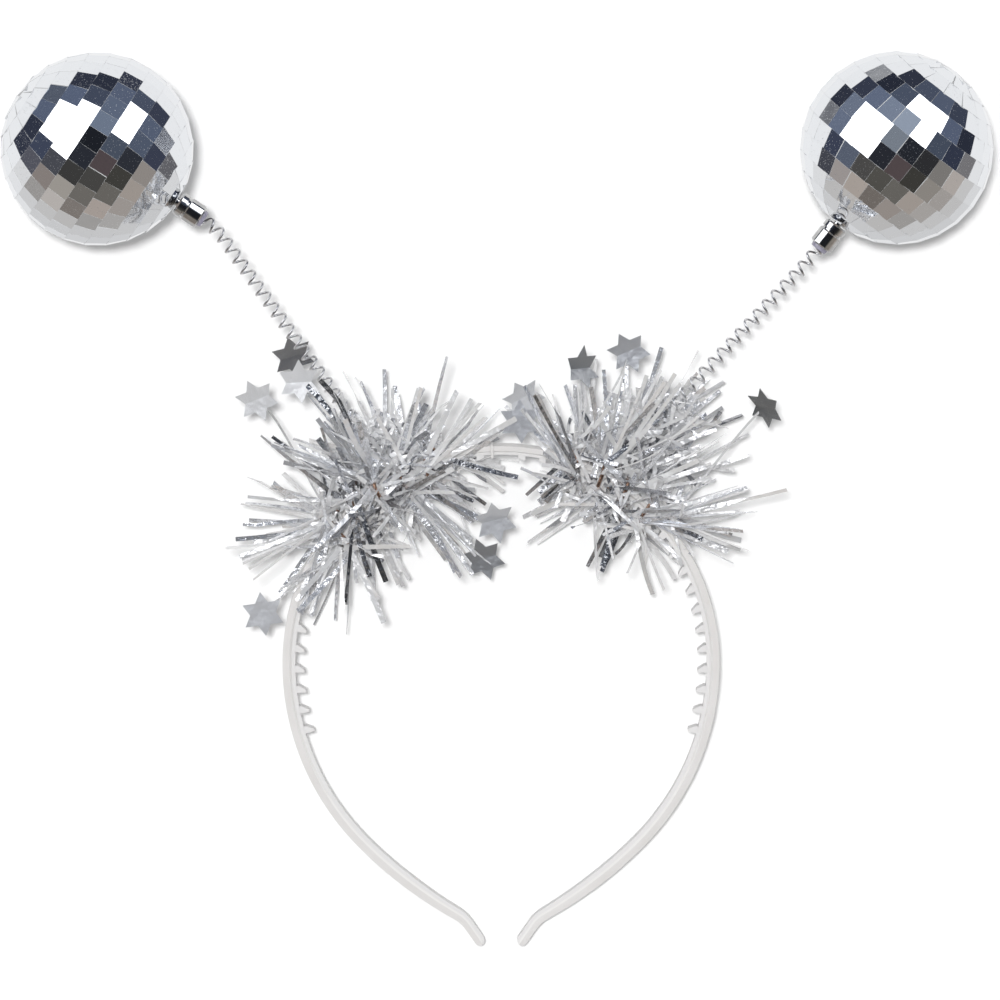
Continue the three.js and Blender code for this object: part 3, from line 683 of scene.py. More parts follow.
def makeSpring(name, side):
    at, length = springAxis(side)
    start = spring["clearance"] + spring["wire"] / 2
    end = length + spring["insert"]
    radius = (spring["diameter"] - spring["wire"]) / 2
    turns = (end - start) / spring["pitch"]
    bm = bmesh.new()
    slope = math.atan(spring["pitch"] / (2 * math.pi * radius))
    upright = Matrix.Rotation(-math.pi / 2 + slope, 4, "X")
    bmesh.ops.create_circle(bm, cap_ends=True, segments=spring["wireCorners"], radius=spring["wire"] / 2,
                            matrix=Matrix.Translation((radius, 0, start)) @ upright)
    phase = 2 * math.pi * start / spring["pitch"]
    bmesh.ops.rotate(bm, cent=(0, 0, 0), matrix=Matrix.Rotation(phase, 3, "Z"), verts=bm.verts)
    steps = int(turns * spring["stepsPerTurn"])
    bmesh.ops.spin(bm, geom=bm.verts[:] + bm.edges[:] + bm.faces[:], cent=(0, 0, 0), axis=(0, 0, 1),
                   dvec=(0, 0, (end - start) / steps), angle=2 * math.pi * turns, steps=steps,
                   use_merge=False, use_duplicate=False)
    for vert in bm.verts:
        place, direction, across = at(vert.co.z + spring["lean"] * vert.co.y)
        vert.co = place + across * vert.co.x + outOfPlane * vert.co.y
    return addPiece("coil_" + name, bm, springSteel, spring["creaseAngle"], ["spring_" + name])


for name, side in sides.items():
    makeSpring(name, side)
print("springs made")


# Collars: a ring, a groove and a faceted barrel, bored for the spring

def makeCollar(name, side):
    at, length = springAxis(side)
    place, direction, across = at(length)
    ring = collar["ringDiameter"] / 2
    groove = ring - collar["grooveDepth"]
    bore = spring["diameter"] / 2 + spring["clearance"]
    barrel = bore + collar["barrelWall"]
    grooveEnd = collar["ringLength"] + collar["grooveLength"]
    chamfer = collar["chamfer"]
    floor = collarLength - spring["insert"] - spring["clearance"]
    bm = bmesh.new()
    shank = ball["shank"] / 2
    root, soft, ringEnd = -collar["shankOut"], collar["ringRound"], collar["ringLength"]
    lathe(bm, [(0, root), (shank, root), (shank, -soft), (ring - chamfer, -soft), (ring, chamfer * 0.6),
               (ring, ringEnd - soft), (ring - soft, ringEnd), (groove, ringEnd),
               (groove, grooveEnd), (barrel - chamfer, grooveEnd),
               (barrel, grooveEnd + chamfer), (barrel, collarLength - chamfer),
               (barrel - chamfer, collarLength), (bore, collarLength), (bore, floor), (0, floor)],
          collar["steps"])
    facets = collar["facets"]
    low = barrel - collar["facetSpare"]
    for vert in bm.verts:    # flats cut round the barrel
        reach = math.hypot(vert.co.x, vert.co.y)
        if reach > low and vert.co.z > grooveEnd:
            angle = math.atan2(vert.co.y, vert.co.x)
            off = (angle * facets / (2 * math.pi) + 0.5) % 1 - 0.5
            share = math.cos(math.pi / facets) / math.cos(off * 2 * math.pi / facets)
            vert.co.x *= share
            vert.co.y *= share
    foot = place + direction * collarLength
    bmesh.ops.transform(bm, matrix=standing(foot, -direction), verts=bm.verts)
    addPiece("ferrule_" + name, bm, collarChrome, collar["creaseAngle"], ["collar_" + name])
    # a thin sleeve grips the spring where it leaves the barrel
    sleeve = bmesh.new()
    inner = spring["diameter"] / 2 + spring["clearance"] / 2
    wide = inner + collar["sleeveWall"] + collar["sleeveTaper"]
    narrow = inner + collar["sleeveWall"]
    start = collarLength - collar["sleeveInside"]
    end = collarLength + collar["sleeveLength"]
    lathe(sleeve, [(inner, start), (wide, start), (wide, collarLength + collar["sleeveStep"]),
                   (narrow, end - collar["sleeveRound"]), (narrow - collar["sleeveTip"], end),
                   (inner, end), (inner, start)], collar["steps"])
    bmesh.ops.transform(sleeve, matrix=standing(foot, -direction), verts=sleeve.verts)
    return addPiece("sleeve_" + name, sleeve, sleevePlastic, collar["sleeveCrease"], [])


for name, side in sides.items():
    makeCollar(name, side)
print("collars made")


# Mirror balls: rows of square glass tiles on a round core

def makeBall(name, side):
    rng = np.random.default_rng(side["tileSeed"])
    phases = rng.uniform(0, 1, ball["rows"])
    tilts = np.radians(rng.normal(0, ball["tilt"], (ball["rows"], ball["columns"], 3)))
    tones = rng.uniform(*ball["toneRange"], (ball["rows"], ball["columns"]))
    wides = rng.uniform(0, 1, (ball["rows"], ball["columns"])) < ball["wideShare"]
    at, length = springAxis(side)
    axis = at(length)[1]
    centre = ballCentre(side)
    # Z of the ball points back to the collar, X towards the viewer
    across = outOfPlane.cross(-axis)
    turn = Matrix((outOfPlane, -across, -axis)).transposed().to_4x4()
    if turn.determinant() < 0:
        turn = Matrix((outOfPlane, across, -axis)).transposed().to_4x4()
    stand = Matrix.Translation(centre) @ turn
    bm = bmesh.new()
    tone = bm.faces.layers.float.new("tone")
    rim = bm.faces.layers.float.new("rim")
    rowAngle = math.pi / ball["rows"]
    gap = ball["tileGap"]
    for row in range(ball["rows"]):
        low = -math.pi / 2 + row * rowAngle
        middle = low + rowAngle / 2
        count = max(ball["poleTiles"], round(ball["columns"] * math.cos(middle)))
        halfStep = math.pi / count
        height = 2 * ballRadius * math.sin(rowAngle / 2) - gap
        chord = 2 * ballRadius * math.sin(halfStep)
        widths = [chord * math.cos(edge) - gap for edge in (low, low + rowAngle)]
        mean = sum(widths) / 2
        widths = [max(lerp(mean, width, ball["taper"]), ball["leastWidth"]) for width in widths]
        out = ballRadius * math.cos(rowAngle / 2) * math.cos(halfStep * math.cos(middle))
        for k in range(count):
            angle = (k + phases[row]) * 2 * math.pi / count
            tile = bmesh.ops.create_cube(bm, size=1)["verts"]
            for vert in tile:
                width = widths[1] if vert.co.y > 0 else widths[0]
                depth = (vert.co.z - 0.5) * ball["tileThickness"]
                vert.co = Vector((vert.co.x * width, vert.co.y * height, depth))
            topEdges = []
            for edge in {edge for vert in tile for edge in vert.link_edges}:
                if all(end.co.z > -0.01 for end in edge.verts):
                    topEdges.append(edge)
            topEdges.sort(key=lambda edge: (edge.verts[0].co + edge.verts[1].co).dot((1, 0.1, 0)))
            tip = Euler(tilts[row, k]).to_matrix().to_4x4()
            toward = (Matrix.Rotation(angle, 4, "Z") @ Matrix.Rotation(-middle, 4, "Y")
                      @ Matrix.Translation((out, 0, 0)) @ Matrix.Rotation(math.pi / 2, 4, "Y")
                      @ Matrix.Rotation(math.pi / 2, 4, "Z"))
            bmesh.ops.transform(bm, matrix=stand @ toward @ tip, verts=tile)
            facing = ((lying @ stand @ toward).to_3x3() @ outOfPlane).normalized()
            clear = tones[row, k]
            # listed spots take their own tone: frosty tiles, and tiles with a painted reflection, warm at
            # tone 0 and slate blue at low tones
            for across, up, own in side["frostAndPaintedReflectionTiles"]:
                if facing.z > 0 and math.hypot(facing.x - across, facing.y - up) < ball["tileNear"]:
                    clear = own
            faces = {face for vert in tile for face in vert.link_faces}
            top = max(faces, key=lambda face: (face.calc_center_median() - centre).length)
            for face in faces:
                face[tone] = clear
                face[rim] = 0 if face == top else 1
            wide = wides[row, k]
            cut = bmesh.ops.bevel(bm, geom=topEdges[:1] if wide else topEdges,
                                  offset=ball["wideEdge"] if wide else ball["edge"],
                                  segments=1, profile=0.5, affect="EDGES", material=-1)
            for face in cut["faces"]:
                face[tone] = clear
                face[rim] = 1
    addPiece("mirror_tiles_" + name, bm, mirrorGlass, ball["creaseAngle"], ["ball_" + name])
    core = bmesh.new()
    inner = ballRadius * math.cos(rowAngle / 2) * math.cos(math.pi / ball["columns"])
    bmesh.ops.create_uvsphere(core, u_segments=ball["coreSteps"], v_segments=ball["coreRows"],
                              radius=inner - ball["coreGap"], matrix=stand)
    addPiece("ball_core_" + name, core, ballPaste, 60, [])


for name, side in sides.items():
    makeBall(name, side)
print("balls made")


# Stars: six points, folded across; their stems come with the tinsel

star = {"radius": 5.9, "waist": 0.58, "thickness": 0.16, "reach": 36, "cuts": 2, "bow": 0.012, "stem": 0.6,
        "nudge": (0.9, 1.3), "patternWidth": 20, "patternStep": 0.37, "creaseAngle": 12,
        "stemGap": 0.1, "stemReach": 1.3, "stemDip": 0.4, "stemTones": (0.16, 0.9)}
starColumns = ("side", "turn", "out", "lift", "spin", "nod", "roll", "fold", "tone")
starRows = [
    ("left", 124, 1.1, -0.14, 14, 12, 8, 8, 0.16),
    ("left", 127, 0.94, 0.17, 5, -14, 10, 20, 1),
    ("left", 145, 1.07, 0.06, 24, 10, -8, 12, 0.9),
    ("left", -131, 1.27, 0.2, 8, -6, -4, 0, 0.75),
    ("left", -17, 0.91, 0.18, 12, 12, 10, 24, 0.6),
    ("left", -36, 0.98, -0.04, 20, 8, -10, 6, 0.3),
    ("right", 149, 0.89, 0.2, 3, -8, 6, 0, 0.5),
    ("right", 140, 0.97, 0.08, 28, 16, 12, 18, 0.85),
    ("right", 111, 0.9, 0.1, 10, -14, 42, 24, 0.22),
    ("right", 88, 0.97, 0.12, 26, 14, -6, 14, 0.5),
    ("right", 28, 1.18, 0.1, 16, 30, -40, 6, 0.14),
]
stars = [dict(zip(starColumns, row)) for row in starRows]


def puffMiddle(side):
    angle = math.radians((side["windFrom"] + side["windTo"]) / 2)
    place, inward, along = edgeAt(side["sign"] * angle * band["crownRadius"])
    return place + inward * band["crownThickness"] / 2


def starPlace(one):    # centre, and the turn that the star has
    reach = star["reach"] * one["out"]
    turn = math.radians(one["turn"])
    side = sides[one["side"]]
    wider, higher = star["nudge"]
    centre = puffMiddle(side) + Vector((
        reach * math.cos(turn) + side["sign"] * wider,
        reach * math.sin(turn) + higher,
        star["reach"] * one["lift"]))
    facing = Matrix.Identity(4)
    for key, axis in (("nod", "X"), ("roll", "Y"), ("spin", "Z")):
        facing = facing @ Matrix.Rotation(math.radians(one[key]), 4, axis)
    return centre, facing


def makeStar(number, one):
    bm = bmesh.new()
    tone = bm.faces.layers.float.new("tone")
    flat = bm.loops.layers.uv.new("flat")
    corners = bmesh.ops.create_circle(bm, cap_ends=True, segments=12, radius=star["radius"])["verts"]
    for vert in corners:
        corner = round(math.atan2(vert.co.y, vert.co.x) / math.pi * 6)
        if corner % 2 == 0:
            vert.co *= star["waist"]
    bmesh.ops.bisect_plane(bm, geom=bm.verts[:] + bm.edges[:] + bm.faces[:],
                           plane_co=(0, 0, 0), plane_no=(0, 1, 0))
    bmesh.ops.triangulate(bm, faces=bm.faces)
    bmesh.ops.subdivide_edges(bm, edges=bm.edges, cuts=star["cuts"], use_grid_fill=True)
    for face in bm.faces:
        face[tone] = one["tone"]
        for loop in face.loops:
            x, y, z = loop.vert.co / star["patternWidth"]
            loop[flat].uv = (x + number * star["patternStep"], y)
    for vert in bm.verts:
        lift = abs(vert.co.y) * math.tan(math.radians(one["fold"]))
        vert.co.z = lift - star["thickness"] / 2 - star["bow"] * vert.co.x ** 2 * math.sin(number)
    bmesh.ops.recalc_face_normals(bm, faces=bm.faces)
    grown = bmesh.ops.extrude_face_region(bm, geom=bm.faces[:])["geom"]
    top = [item for item in grown if isinstance(item, bmesh.types.BMVert)]
    bmesh.ops.translate(bm, vec=(0, 0, star["thickness"]), verts=top)
    centre, facing = starPlace(one)
    bmesh.ops.transform(bm, matrix=Matrix.Translation(centre) @ facing, verts=bm.verts)
    return addPiece(f"foil_star_{number}", bm, starFoil, star["creaseAngle"], [f"star_{number}"])


for number, one in enumerate(stars, 1):
    makeStar(number, one)
print("stars made")


# Tinsel: foil strips that stand out of a cord wound round the band

tinsel = {
    "cord": 1.6, "windingClearance": 0.6, "windingPitch": 7.6, "cordCorners": 8, "cordSteps": 24,
    "cordShare": 0.6, "upAt": 30, "samples": 60, "foil": 0.05, "segments": 8, "flattening": 0.62,
    "faceSpread": 0.45, "fanLift": 0.12, "scatter": 0.22, "springOut": 0.6, "kinkTwist": 0.5,
    "lengthSpread": (0.78, 1.08), "rootSpread": (1, 1, 0.5),
    "tableSpare": 0.5, "tableSpread": 1.6, "bandInside": 5.2, "bandOutside": 0.4, "bandSpare": 0.3,
}
stripKinds = [    # the fans come first, then loose strips, then the crumpled heart
    {"kind": "fan", "fan": 0.15, "spread": 1.1, "width": (0.85, 1.55),
     "bow": 12, "kinks": 0.4, "kink": 14, "twist": 34},
    {"kind": "spray", "count": 72, "bundle": 2, "fan": 0.3, "spread": 1.0,
     "length": (15, 27), "width": (0.8, 1.5), "slant": 64, "bow": 12,
     "kinks": 0.4, "kink": 14, "twist": 30, "away": 0.0, "onSpring": 0.25},
    {"kind": "middle", "count": 160, "bundle": 2, "fan": 0.35, "spread": 1.2,
     "length": (8, 18), "width": (0.8, 1.4), "slant": 72, "bow": 16,
     "kinks": 0.8, "kink": 24, "twist": 50, "away": 0.1, "onSpring": 0.35},
    {"kind": "crumple", "count": 260, "bundle": 2, "fan": 0.5, "spread": 1.5,
     "length": (5, 11), "width": (0.7, 1.4), "slant": 80, "bow": 20,
     "kinks": 3.5, "kink": 60, "twist": 170, "away": 0.3, "onSpring": 0.45},
    {"kind": "thread", "count": 26, "bundle": 2, "fan": 0.3, "spread": 1.0,
     "length": (15, 26), "width": (0.25, 0.5), "slant": 60, "bow": 34,
     "kinks": 0.3, "kink": 20, "twist": 60, "away": 0.0, "onSpring": 0.0},
]
foilTones = {"dark": (0.03, 0.13), "bright": (0.16, 0.5), "pale": (0.5, 1.0), "mixed": (0.1, 1.0),
             "loose": (0.012, 1.0)}


def toothHeightAt(distance):
    return lerp(teeth["crownHeight"], teeth["height"],
                smoothStep(abs(distance), teeth["crownReach"], teeth["fullReach"]))


def windingAt(side, t):    # place on the wound cord, and the direction away from the band
    start = math.radians(side["windFrom"]) * band["crownRadius"]
    end = math.radians(side["windTo"]) * band["crownRadius"]
    s = lerp(start, end, t)
    spare = spring["clearance"] + tinsel["windingClearance"] + tinsel["cord"] / 2
    fromRoot = (s - math.radians(spring["rootAngle"]) * band["crownRadius"]) / tinsel["windingPitch"]
    phase = math.pi + 2 * math.pi * fromRoot
    inside = bandThicknessAt(s) + toothHeightAt(s) + spare

    def squared(value):
        return math.copysign(math.sqrt(abs(value)), value)

    radial = (spare - inside) / 2 + (spare + inside) / 2 * squared(math.cos(phase))
    lift = (band["crownDepth"] / 2 + spare) * squared(math.sin(phase))
    place, inward, along = edgeAt(side["sign"] * s)
    away = inward * (-bandThicknessAt(s) / 2 - radial) + outOfPlane * lift
    return place - inward * radial + outOfPlane * lift, away.normalized(), along


def unit(vectors):
    return vectors / np.maximum(np.linalg.norm(vectors, axis=-1, keepdims=True), 1e-9)


def turned(vectors, axes, angles):    # each vector turned about its own axis
    cos, sin = np.cos(angles)[:, None], np.sin(angles)[:, None]
    dot = np.sum(vectors * axes, axis=1, keepdims=True)
    return vectors * cos + np.cross(axes, vectors) * sin + axes * dot * (1 - cos)


def fanStarts(rng, side):    # the fans listed for a side: roots, headings, lengths, counts and tones
    roots, headings, lengths, counts, tones = [], [], [], [], []
    for t, turn, length, count, look in side["fans"]:
        angle = math.radians(turn)
        lift = rng.normal(tinsel["fanLift"], tinsel["fanLift"])
        roots.append(windingAt(side, t)[0])
        headings.append((math.cos(angle), math.sin(angle), lift))
        lengths.append(length)
        counts.append(count)
        tones.append(rng.uniform(*foilTones[look], count))
    return np.array(roots), np.array(headings), np.array(lengths), np.array(counts), np.concatenate(tones)


def looseStarts(rng, side, kind):    # bundles that leave the winding, or the spring's foot, at random
    groups = kind["count"] // kind["bundle"]
    ts = rng.uniform(0, 1, groups)
    found = [windingAt(side, t) for t in ts]
    at = springAxis(side)[0]
    for i in range(int(groups * kind["onSpring"] * side["springShare"])):
        place, direction, across = at(side["upSpring"] * ts[i])
        turn = rng.uniform(0, 2 * math.pi)
        away = across * math.cos(turn) + outOfPlane * math.sin(turn)
        found[i] = (place + away * spring["diameter"] * tinsel["springOut"], away, direction)
    roots, aways, alongs = (np.array(column) for column in zip(*found))
    slants = np.radians(kind["slant"]) * rng.uniform(-1, 1, groups)
    headings = aways * np.cos(slants)[:, None] + alongs * np.sin(slants)[:, None]
    headings += rng.normal(0, tinsel["scatter"] + kind["away"], (groups, 3)) + np.array(side["drift"])
    headings[:, 2] *= tinsel["flattening"]
    headings = unit(headings)
    west, east, south, north = side["reach"]
    stretch = np.linalg.norm(np.stack([
        headings[:, 0] * np.where(headings[:, 0] < 0, west, east),
        headings[:, 1] * np.where(headings[:, 1] < 0, south, north), headings[:, 2]], 1), axis=1)
    counts = np.full(groups, kind["bundle"])
    lengths = rng.uniform(*kind["length"], groups) * stretch
    return roots, headings, lengths, counts, rng.uniform(*foilTones["loose"], counts.sum())


def growStrips(rng, side, kind):    # paths, width directions, widths and tones of one kind
    starts = fanStarts(rng, side) if kind["kind"] == "fan" else looseStarts(rng, side, kind)
    roots, headings, lengths, counts, tones = starts
    groups, n, m = len(counts), counts.sum(), tinsel["segments"]

    def shared(values):    # one value for each strip of a bundle
        return np.repeat(values, counts, 0)

    point = shared(roots) + rng.normal(0, kind["spread"], (n, 3)) * tinsel["rootSpread"]
    heading = unit(shared(unit(headings)) + rng.normal(0, kind["fan"], (n, 3)))
    lengths = shared(lengths) * rng.uniform(*tinsel["lengthSpread"], n)
    widths = rng.uniform(*kind["width"], n)
    bendAxis = unit(np.cross(heading, shared(rng.normal(0, 1, (groups, 3)))))
    bends = np.radians(kind["bow"]) * shared(rng.normal(0, 1, groups)) / m
    twists = np.radians(kind["twist"]) * rng.normal(0, 1, n) / m
    faceOut = np.array(outOfPlane) + rng.normal(0, tinsel["faceSpread"], (n, 3))
    across = unit(np.cross(heading, faceOut))
    paths, sidesOut = [point.copy()], [across.copy()]
    for k in range(m):
        heading = unit(turned(heading, bendAxis, bends))
        kinked = rng.uniform(0, 1, n) < kind["kinks"] / m
        sharp = unit(np.cross(heading, rng.normal(0, 1, (n, 3))))
        heading = unit(turned(heading, sharp, np.radians(kind["kink"]) * rng.normal(0, 1, n) * kinked))
        point = point + heading * (lengths / m)[:, None]
        across = unit(across - heading * np.sum(across * heading, axis=1, keepdims=True))
        across = turned(across, heading, twists + kinked * rng.normal(0, tinsel["kinkTwist"], n))
        paths.append(point.copy())
        sidesOut.append(across.copy())
    return np.stack(paths, 1), np.stack(sidesOut, 1), widths, tones


def keepClear(side, paths, rng):    # off the table and off the band
    slope, level = math.sin(lieAngle), math.cos(lieAngle)
    base = shift.z / mm
    spare = tinsel["tableSpare"] + rng.uniform(0, tinsel["tableSpread"], paths.shape[:1])[:, None]
    height = paths[..., 1] * slope + paths[..., 2] * level + base
    paths[..., 2] += np.maximum(spare - height, 0) / level
    reach = np.hypot(paths[..., 0], paths[..., 1])
    halfDepth = band["crownDepth"] / 2 + tinsel["bandSpare"]
    inBand = ((reach > band["crownRadius"] - tinsel["bandInside"])
              & (reach < band["crownRadius"] + tinsel["bandOutside"])
              & (np.abs(paths[..., 2]) < halfDepth))
    paths[..., 2] = np.where(inBand, np.where(paths[..., 2] < 0, -halfDepth, halfDepth), paths[..., 2])
    return paths


def stripMesh(name, paths, acrosses, widths, tones):    # closed thin strips from arrays
    n, stations = paths.shape[:2]
    heading = unit(np.gradient(paths, axis=1))
    across = unit(acrosses - heading * np.sum(acrosses * heading, axis=2, keepdims=True))
    faceOut = np.cross(heading, across)
    halfWidth = (widths / 2)[:, None, None] * across
    halfFoil = faceOut * tinsel["foil"] / 2
    ring = np.stack([paths - halfWidth - halfFoil, paths + halfWidth - halfFoil,
                     paths + halfWidth + halfFoil, paths - halfWidth + halfFoil], 2)
    verts = ring.reshape(-1, 3)
    strip = np.arange(n)[:, None, None] * stations * 4
    station = np.arange(stations - 1)[None, :, None] * 4
    corner = np.arange(4)[None, None, :]
    follow = (corner + 1) % 4
    quads = np.stack([strip + station + corner, strip + station + follow,
                      strip + station + 4 + follow, strip + station + 4 + corner], 3).reshape(-1, 4)
    first = np.arange(n)[:, None] * stations * 4
    caps = np.concatenate([first + np.array([[3, 2, 1, 0]]),
                           first + (stations - 1) * 4 + np.array([[0, 1, 2, 3]])])
    faceTones = np.concatenate([np.repeat(tones, (stations - 1) * 4), tones, tones])
    mesh = bpy.data.meshes.new(name)
    mesh.from_pydata(verts.tolist(), [], np.concatenate([quads, caps]).tolist())
    mesh.attributes.new("tone", "FLOAT", "FACE").data.foreach_set("value", faceTones.astype(np.float32))
    return mesh


def starStems(side, name):    # cubic curves from the winding to the back of each star
    paths, acrosses = [], []
    for one in (each for each in stars if each["side"] == name):
        centre, facing = starPlace(one)
        normal = (facing.to_3x3() @ outOfPlane).normalized()
        tip = centre - normal * (star["thickness"] / 2 + star["stemGap"])
        samples = [windingAt(side, i / tinsel["samples"]) for i in range(tinsel["samples"])]
        root, away, along = min(
            samples, key=lambda found: (found[0] + found[1] * star["radius"] - tip).length)
        inward = puffMiddle(side) - centre
        inward = (inward - normal * inward.dot(normal)).normalized()
        leaving = root + away * star["radius"]
        arriving = (tip + inward * star["radius"] * star["stemReach"]
                    - normal * star["radius"] * star["stemDip"])
        path = []
        for k in range(tinsel["segments"] + 1):
            t = k / tinsel["segments"]
            path.append(root * (1 - t) ** 3 + leaving * 3 * t * (1 - t) ** 2
                        + arriving * 3 * t * t * (1 - t) + tip * t ** 3)
        paths.append(path)
        acrosses.append([normal.cross(inward)] * len(path))
    count = len(paths)
    tones = np.linspace(*star["stemTones"], count)
    return np.array(paths), np.array(acrosses), np.full(count, star["stem"]), tones


def makeTinsel(name, side):
    rng = np.random.default_rng(side["stripSeed"])
    groups = [growStrips(rng, side, kind) for kind in stripKinds]
    groups = [(keepClear(side, paths, rng), *rest) for paths, *rest in groups]
    groups.append(starStems(side, name))
    paths, acrosses, widths, tones = (np.concatenate(column) for column in zip(*groups))
    mesh = stripMesh("puff_" + name, paths, acrosses, widths, tones)
    mesh.transform(onTable)
    piece = addMesh("puff_" + name, mesh, tinselFoil, ["tinsel_" + name])
    bm = bmesh.new()
    turns = math.radians(side["windTo"] - side["windFrom"]) * band["crownRadius"] / tinsel["windingPitch"]
    steps = int(turns * tinsel["cordSteps"])
    middles = [windingAt(side, i / steps)[0] for i in range(steps + 1)]
    rings = []
    for i, middle in enumerate(middles):
        ahead = (middles[min(i + 1, steps)] - middles[max(i - 1, 0)]).normalized()
        up = edgeAt(side["sign"] * tinsel["upAt"])[2]
        first = ahead.cross(up).normalized()
        second = ahead.cross(first).normalized()
        radius = tinsel["cord"] / 2 * tinsel["cordShare"]
        rings.append([middle + (first * math.cos(a) + second * math.sin(a)) * radius
                      for a in np.linspace(0, 2 * math.pi, tinsel["cordCorners"], endpoint=False)])
    sweepRings(bm, rings)
    bm.faces.layers.float.new("tone")
    addPiece("winding_" + name, bm, tinselFoil, 60, [])
    return piece


for name, side in sides.items():
    makeTinsel(name, side)
print("tinsel made")


# Studio: a pale floor, two soft lights, one from overhead and a surround for the mirrors

studio = {
    "floorSize": 6, "floorColour": (0.9, 0.9, 0.9),
    "cameraHeight": 4, "frameWidth": 0.2650, "frameLevel": 0.02, "aim": (0.00075, -0.00010),
    "seen": 1.0, "fill": 0.48,
    "sun": {"towards": (-0.05, 0.05, 1), "power": 2.25, "angle": 6},
    "lights": [
        {"name": "softLeft", "towards": (-0.60, 0.52, 0.61), "distance": 4, "size": 3.3, "power": 85,
         "glow": (0.05, 0.062, 0.095)},
        {"name": "softRight", "towards": (0.54, 0.55, 0.63), "distance": 4, "size": 2.2, "power": 42,
         "glow": (0.09, 0.112, 0.155)},
    ],
    "glowEnds": (0.66, 0.97), "clouds": 2.2, "cloudEnds": (0.35, 0.65), "cloudGains": (0.55, 1.7),
    "darkEnds": (0.36, 0.42), "frontSlope": -2.6, "frontFrom": -0.35, "sensor": 36, "clip": (0.05, 20),
    "behind": [    # height as a share, then the colour there
        (0.0, 0.90, 0.90, 0.90), (0.355, 0.87, 0.87, 0.87), (0.375, 0.035, 0.04, 0.06),
        (0.65, 0.03, 0.036, 0.058), (1.0, 0.012, 0.013, 0.016)],
    "before": [
        (0.0, 0.66, 0.66, 0.665), (0.25, 0.60, 0.59, 0.58), (0.44, 0.44, 0.415, 0.39),
        (0.60, 0.30, 0.255, 0.225), (0.72, 0.20, 0.185, 0.165), (0.84, 0.06, 0.057, 0.05),
        (0.95, 0.015, 0.015, 0.017)],
}


def makeFloor():
    bm = bmesh.new()
    bmesh.ops.create_grid(bm, x_segments=1, y_segments=1, size=studio["floorSize"] / 2)
    mesh = bpy.data.meshes.new("floor")
    bm.to_mesh(mesh)
    bm.free()
    material, nodes, links = newMaterial("paleFloor")
    shader = nodes["Principled BSDF"]
    shader.inputs["Base Color"].default_value = (*studio["floorColour"], 1)
    shader.inputs["Roughness"].default_value = 0.9
    shader.inputs["Specular IOR Level"].default_value = 0.1
    mesh.materials.append(material)
    floor = bpy.data.objects.new("floor", mesh)
    floor.visible_glossy = False
    bpy.context.scene.collection.objects.link(floor)


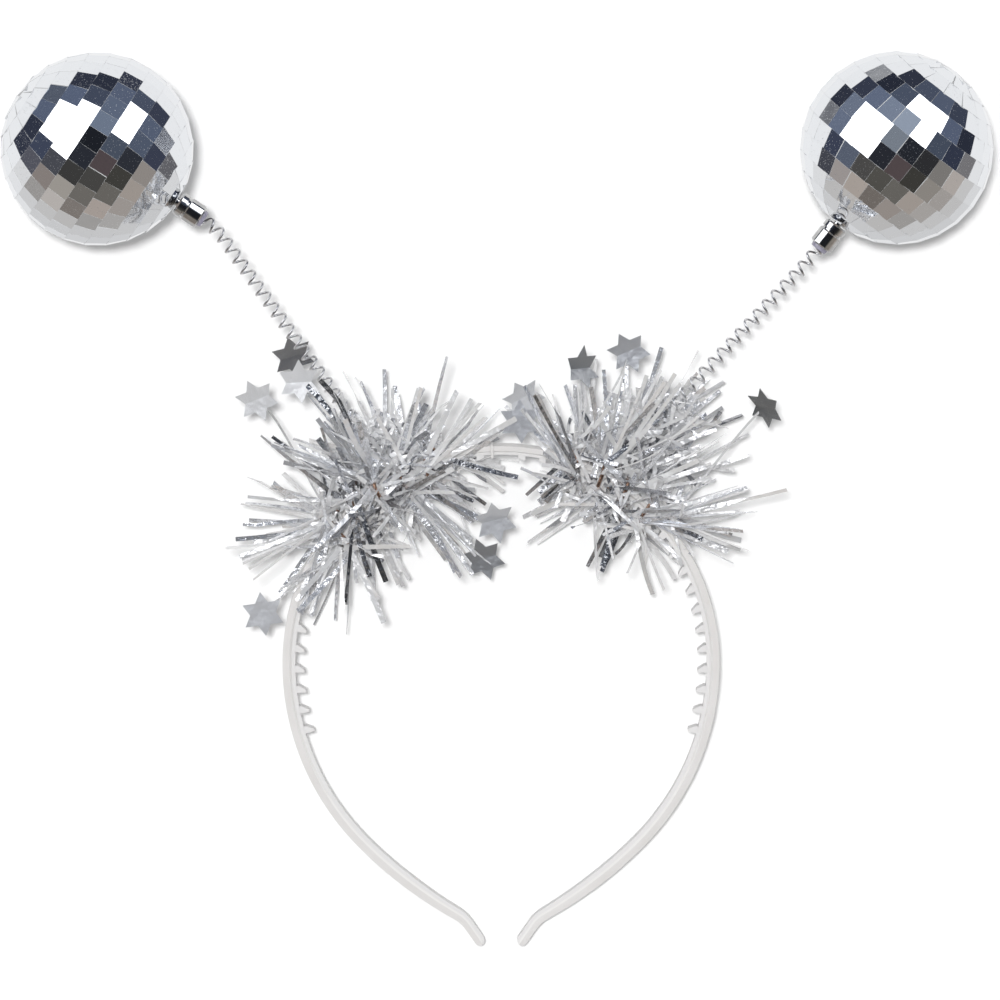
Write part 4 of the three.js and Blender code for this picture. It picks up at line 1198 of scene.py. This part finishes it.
def makeSurround():    # what mirrors see: white low down, brown-grey near the viewer's feet, dark above
    world = bpy.data.worlds.new("studio")
    bpy.context.scene.world = world
    world.use_nodes = True
    nodes, links = world.node_tree.nodes, world.node_tree.links
    nodes.clear()
    output = nodes.new("ShaderNodeOutputWorld")
    ray = nodes.new("ShaderNodeLightPath")
    place = nodes.new("ShaderNodeTexCoord")
    axes = nodes.new("ShaderNodeSeparateXYZ")
    links.new(place.outputs["Generated"], axes.inputs["Vector"])

    def scaled(source, factor, addend, clamp=False):
        node = addNode(nodes, "ShaderNodeMath", operation="MULTIPLY_ADD", use_clamp=clamp)
        links.new(source, node.inputs[0])
        node.inputs[1].default_value = factor
        node.inputs[2].default_value = addend
        return node.outputs["Value"]

    def blend(kind, factor, first, second):
        node = addNode(nodes, "ShaderNodeMix", data_type="RGBA", blend_type=kind)
        sockets = node.inputs["Factor"], node.inputs[6], node.inputs[7]
        for source, socket in zip((factor, first, second), sockets):
            if isinstance(source, bpy.types.NodeSocket):
                links.new(source, socket)
            else:
                socket.default_value = source
        return node.outputs[2]

    height = scaled(axes.outputs["Z"], 0.5, 0.5)
    behind, before = (rampNode(nodes, [(row[0], row[1:]) for row in studio[key]])
                      for key in ("behind", "before"))
    links.new(height, behind.inputs["Fac"])
    links.new(height, before.inputs["Fac"])
    front = scaled(axes.outputs["Y"], studio["frontSlope"], studio["frontFrom"], True)
    around = blend("MIX", front, behind.outputs["Color"], before.outputs["Color"])
    clouds = addNode(nodes, "ShaderNodeTexNoise", Scale=studio["clouds"], Detail=2)
    links.new(place.outputs["Generated"], clouds.inputs["Vector"])
    uneven = rangeNode(nodes, studio["cloudEnds"], studio["cloudGains"])
    links.new(clouds.outputs["Fac"], uneven.inputs["Value"])
    dark = rangeNode(nodes, studio["darkEnds"])    # clouds and glow keep to the dark upper part
    links.new(height, dark.inputs["Value"])
    around = blend("MULTIPLY", dark.outputs["Result"], around, uneven.outputs["Result"])
    for light in studio["lights"]:
        nearness = addNode(nodes, "ShaderNodeVectorMath", operation="DOT_PRODUCT")
        nearness.inputs[1].default_value = Vector(light["towards"]).normalized()
        halo = rangeNode(nodes, studio["glowEnds"], interpolation_type="SMOOTHSTEP")
        links.new(place.outputs["Generated"], nearness.inputs[0])
        links.new(nearness.outputs["Value"], halo.inputs["Value"])
        around = blend("ADD", halo.outputs["Result"], around, (*light["glow"], 1))
    mirrored = nodes.new("ShaderNodeBackground")
    links.new(around, mirrored.inputs["Color"])
    plain = addNode(nodes, "ShaderNodeBackground", Strength=studio["fill"])
    seen = addNode(nodes, "ShaderNodeBackground", Strength=studio["seen"])
    for background in (plain, seen):
        background.inputs["Color"].default_value = (1, 1, 1, 1)
    choose = nodes.new("ShaderNodeMixShader")
    joinUp(links, [
        (ray, "Is Glossy Ray", choose, "Fac"),
        (plain, "Background", choose, 1),
        (mirrored, "Background", choose, 2),
    ])
    chooseSeen = nodes.new("ShaderNodeMixShader")
    joinUp(links, [
        (ray, "Is Camera Ray", chooseSeen, "Fac"),
        (choose, "Shader", chooseSeen, 1),
        (seen, "Background", chooseSeen, 2),
        (chooseSeen, "Shader", output, "Surface"),
    ])


def aimLamp(lamp, towards, distance):
    holder = bpy.data.objects.new(lamp.name, lamp)
    direction = Vector(towards).normalized()
    holder.location = direction * distance
    holder.rotation_mode = "QUATERNION"
    holder.rotation_quaternion = (-direction).to_track_quat("-Z", "Y")
    bpy.context.scene.collection.objects.link(holder)
    return holder


def makeLights():
    for light in studio["lights"]:
        lamp = bpy.data.lights.new(light["name"], "AREA")
        lamp.shape = "SQUARE"
        lamp.size = light["size"]
        lamp.energy = light["power"]
        aimLamp(lamp, light["towards"], light["distance"]).visible_diffuse = False
    # a soft light from nearly overhead gives the short shadows, unseen in the mirrors
    sun = bpy.data.lights.new("overhead", "SUN")
    sun.energy = studio["sun"]["power"]
    sun.angle = math.radians(studio["sun"]["angle"])
    aimLamp(sun, studio["sun"]["towards"], 1).visible_glossy = False


def makeCamera():
    lens = bpy.data.cameras.new("above")
    lens.sensor_width = studio["sensor"]
    lens.lens = lens.sensor_width * (studio["cameraHeight"] - studio["frameLevel"]) / studio["frameWidth"]
    lens.clip_start, lens.clip_end = studio["clip"]
    camera = bpy.data.objects.new("above", lens)
    camera.location = (*studio["aim"], studio["cameraHeight"])
    bpy.context.scene.collection.objects.link(camera)
    bpy.context.scene.camera = camera


makeFloor()
makeSurround()
makeLights()
makeCamera()
bpy.context.scene.view_settings.view_transform = "Standard"
bpy.context.scene.view_settings.look = "None"
print("studio made")
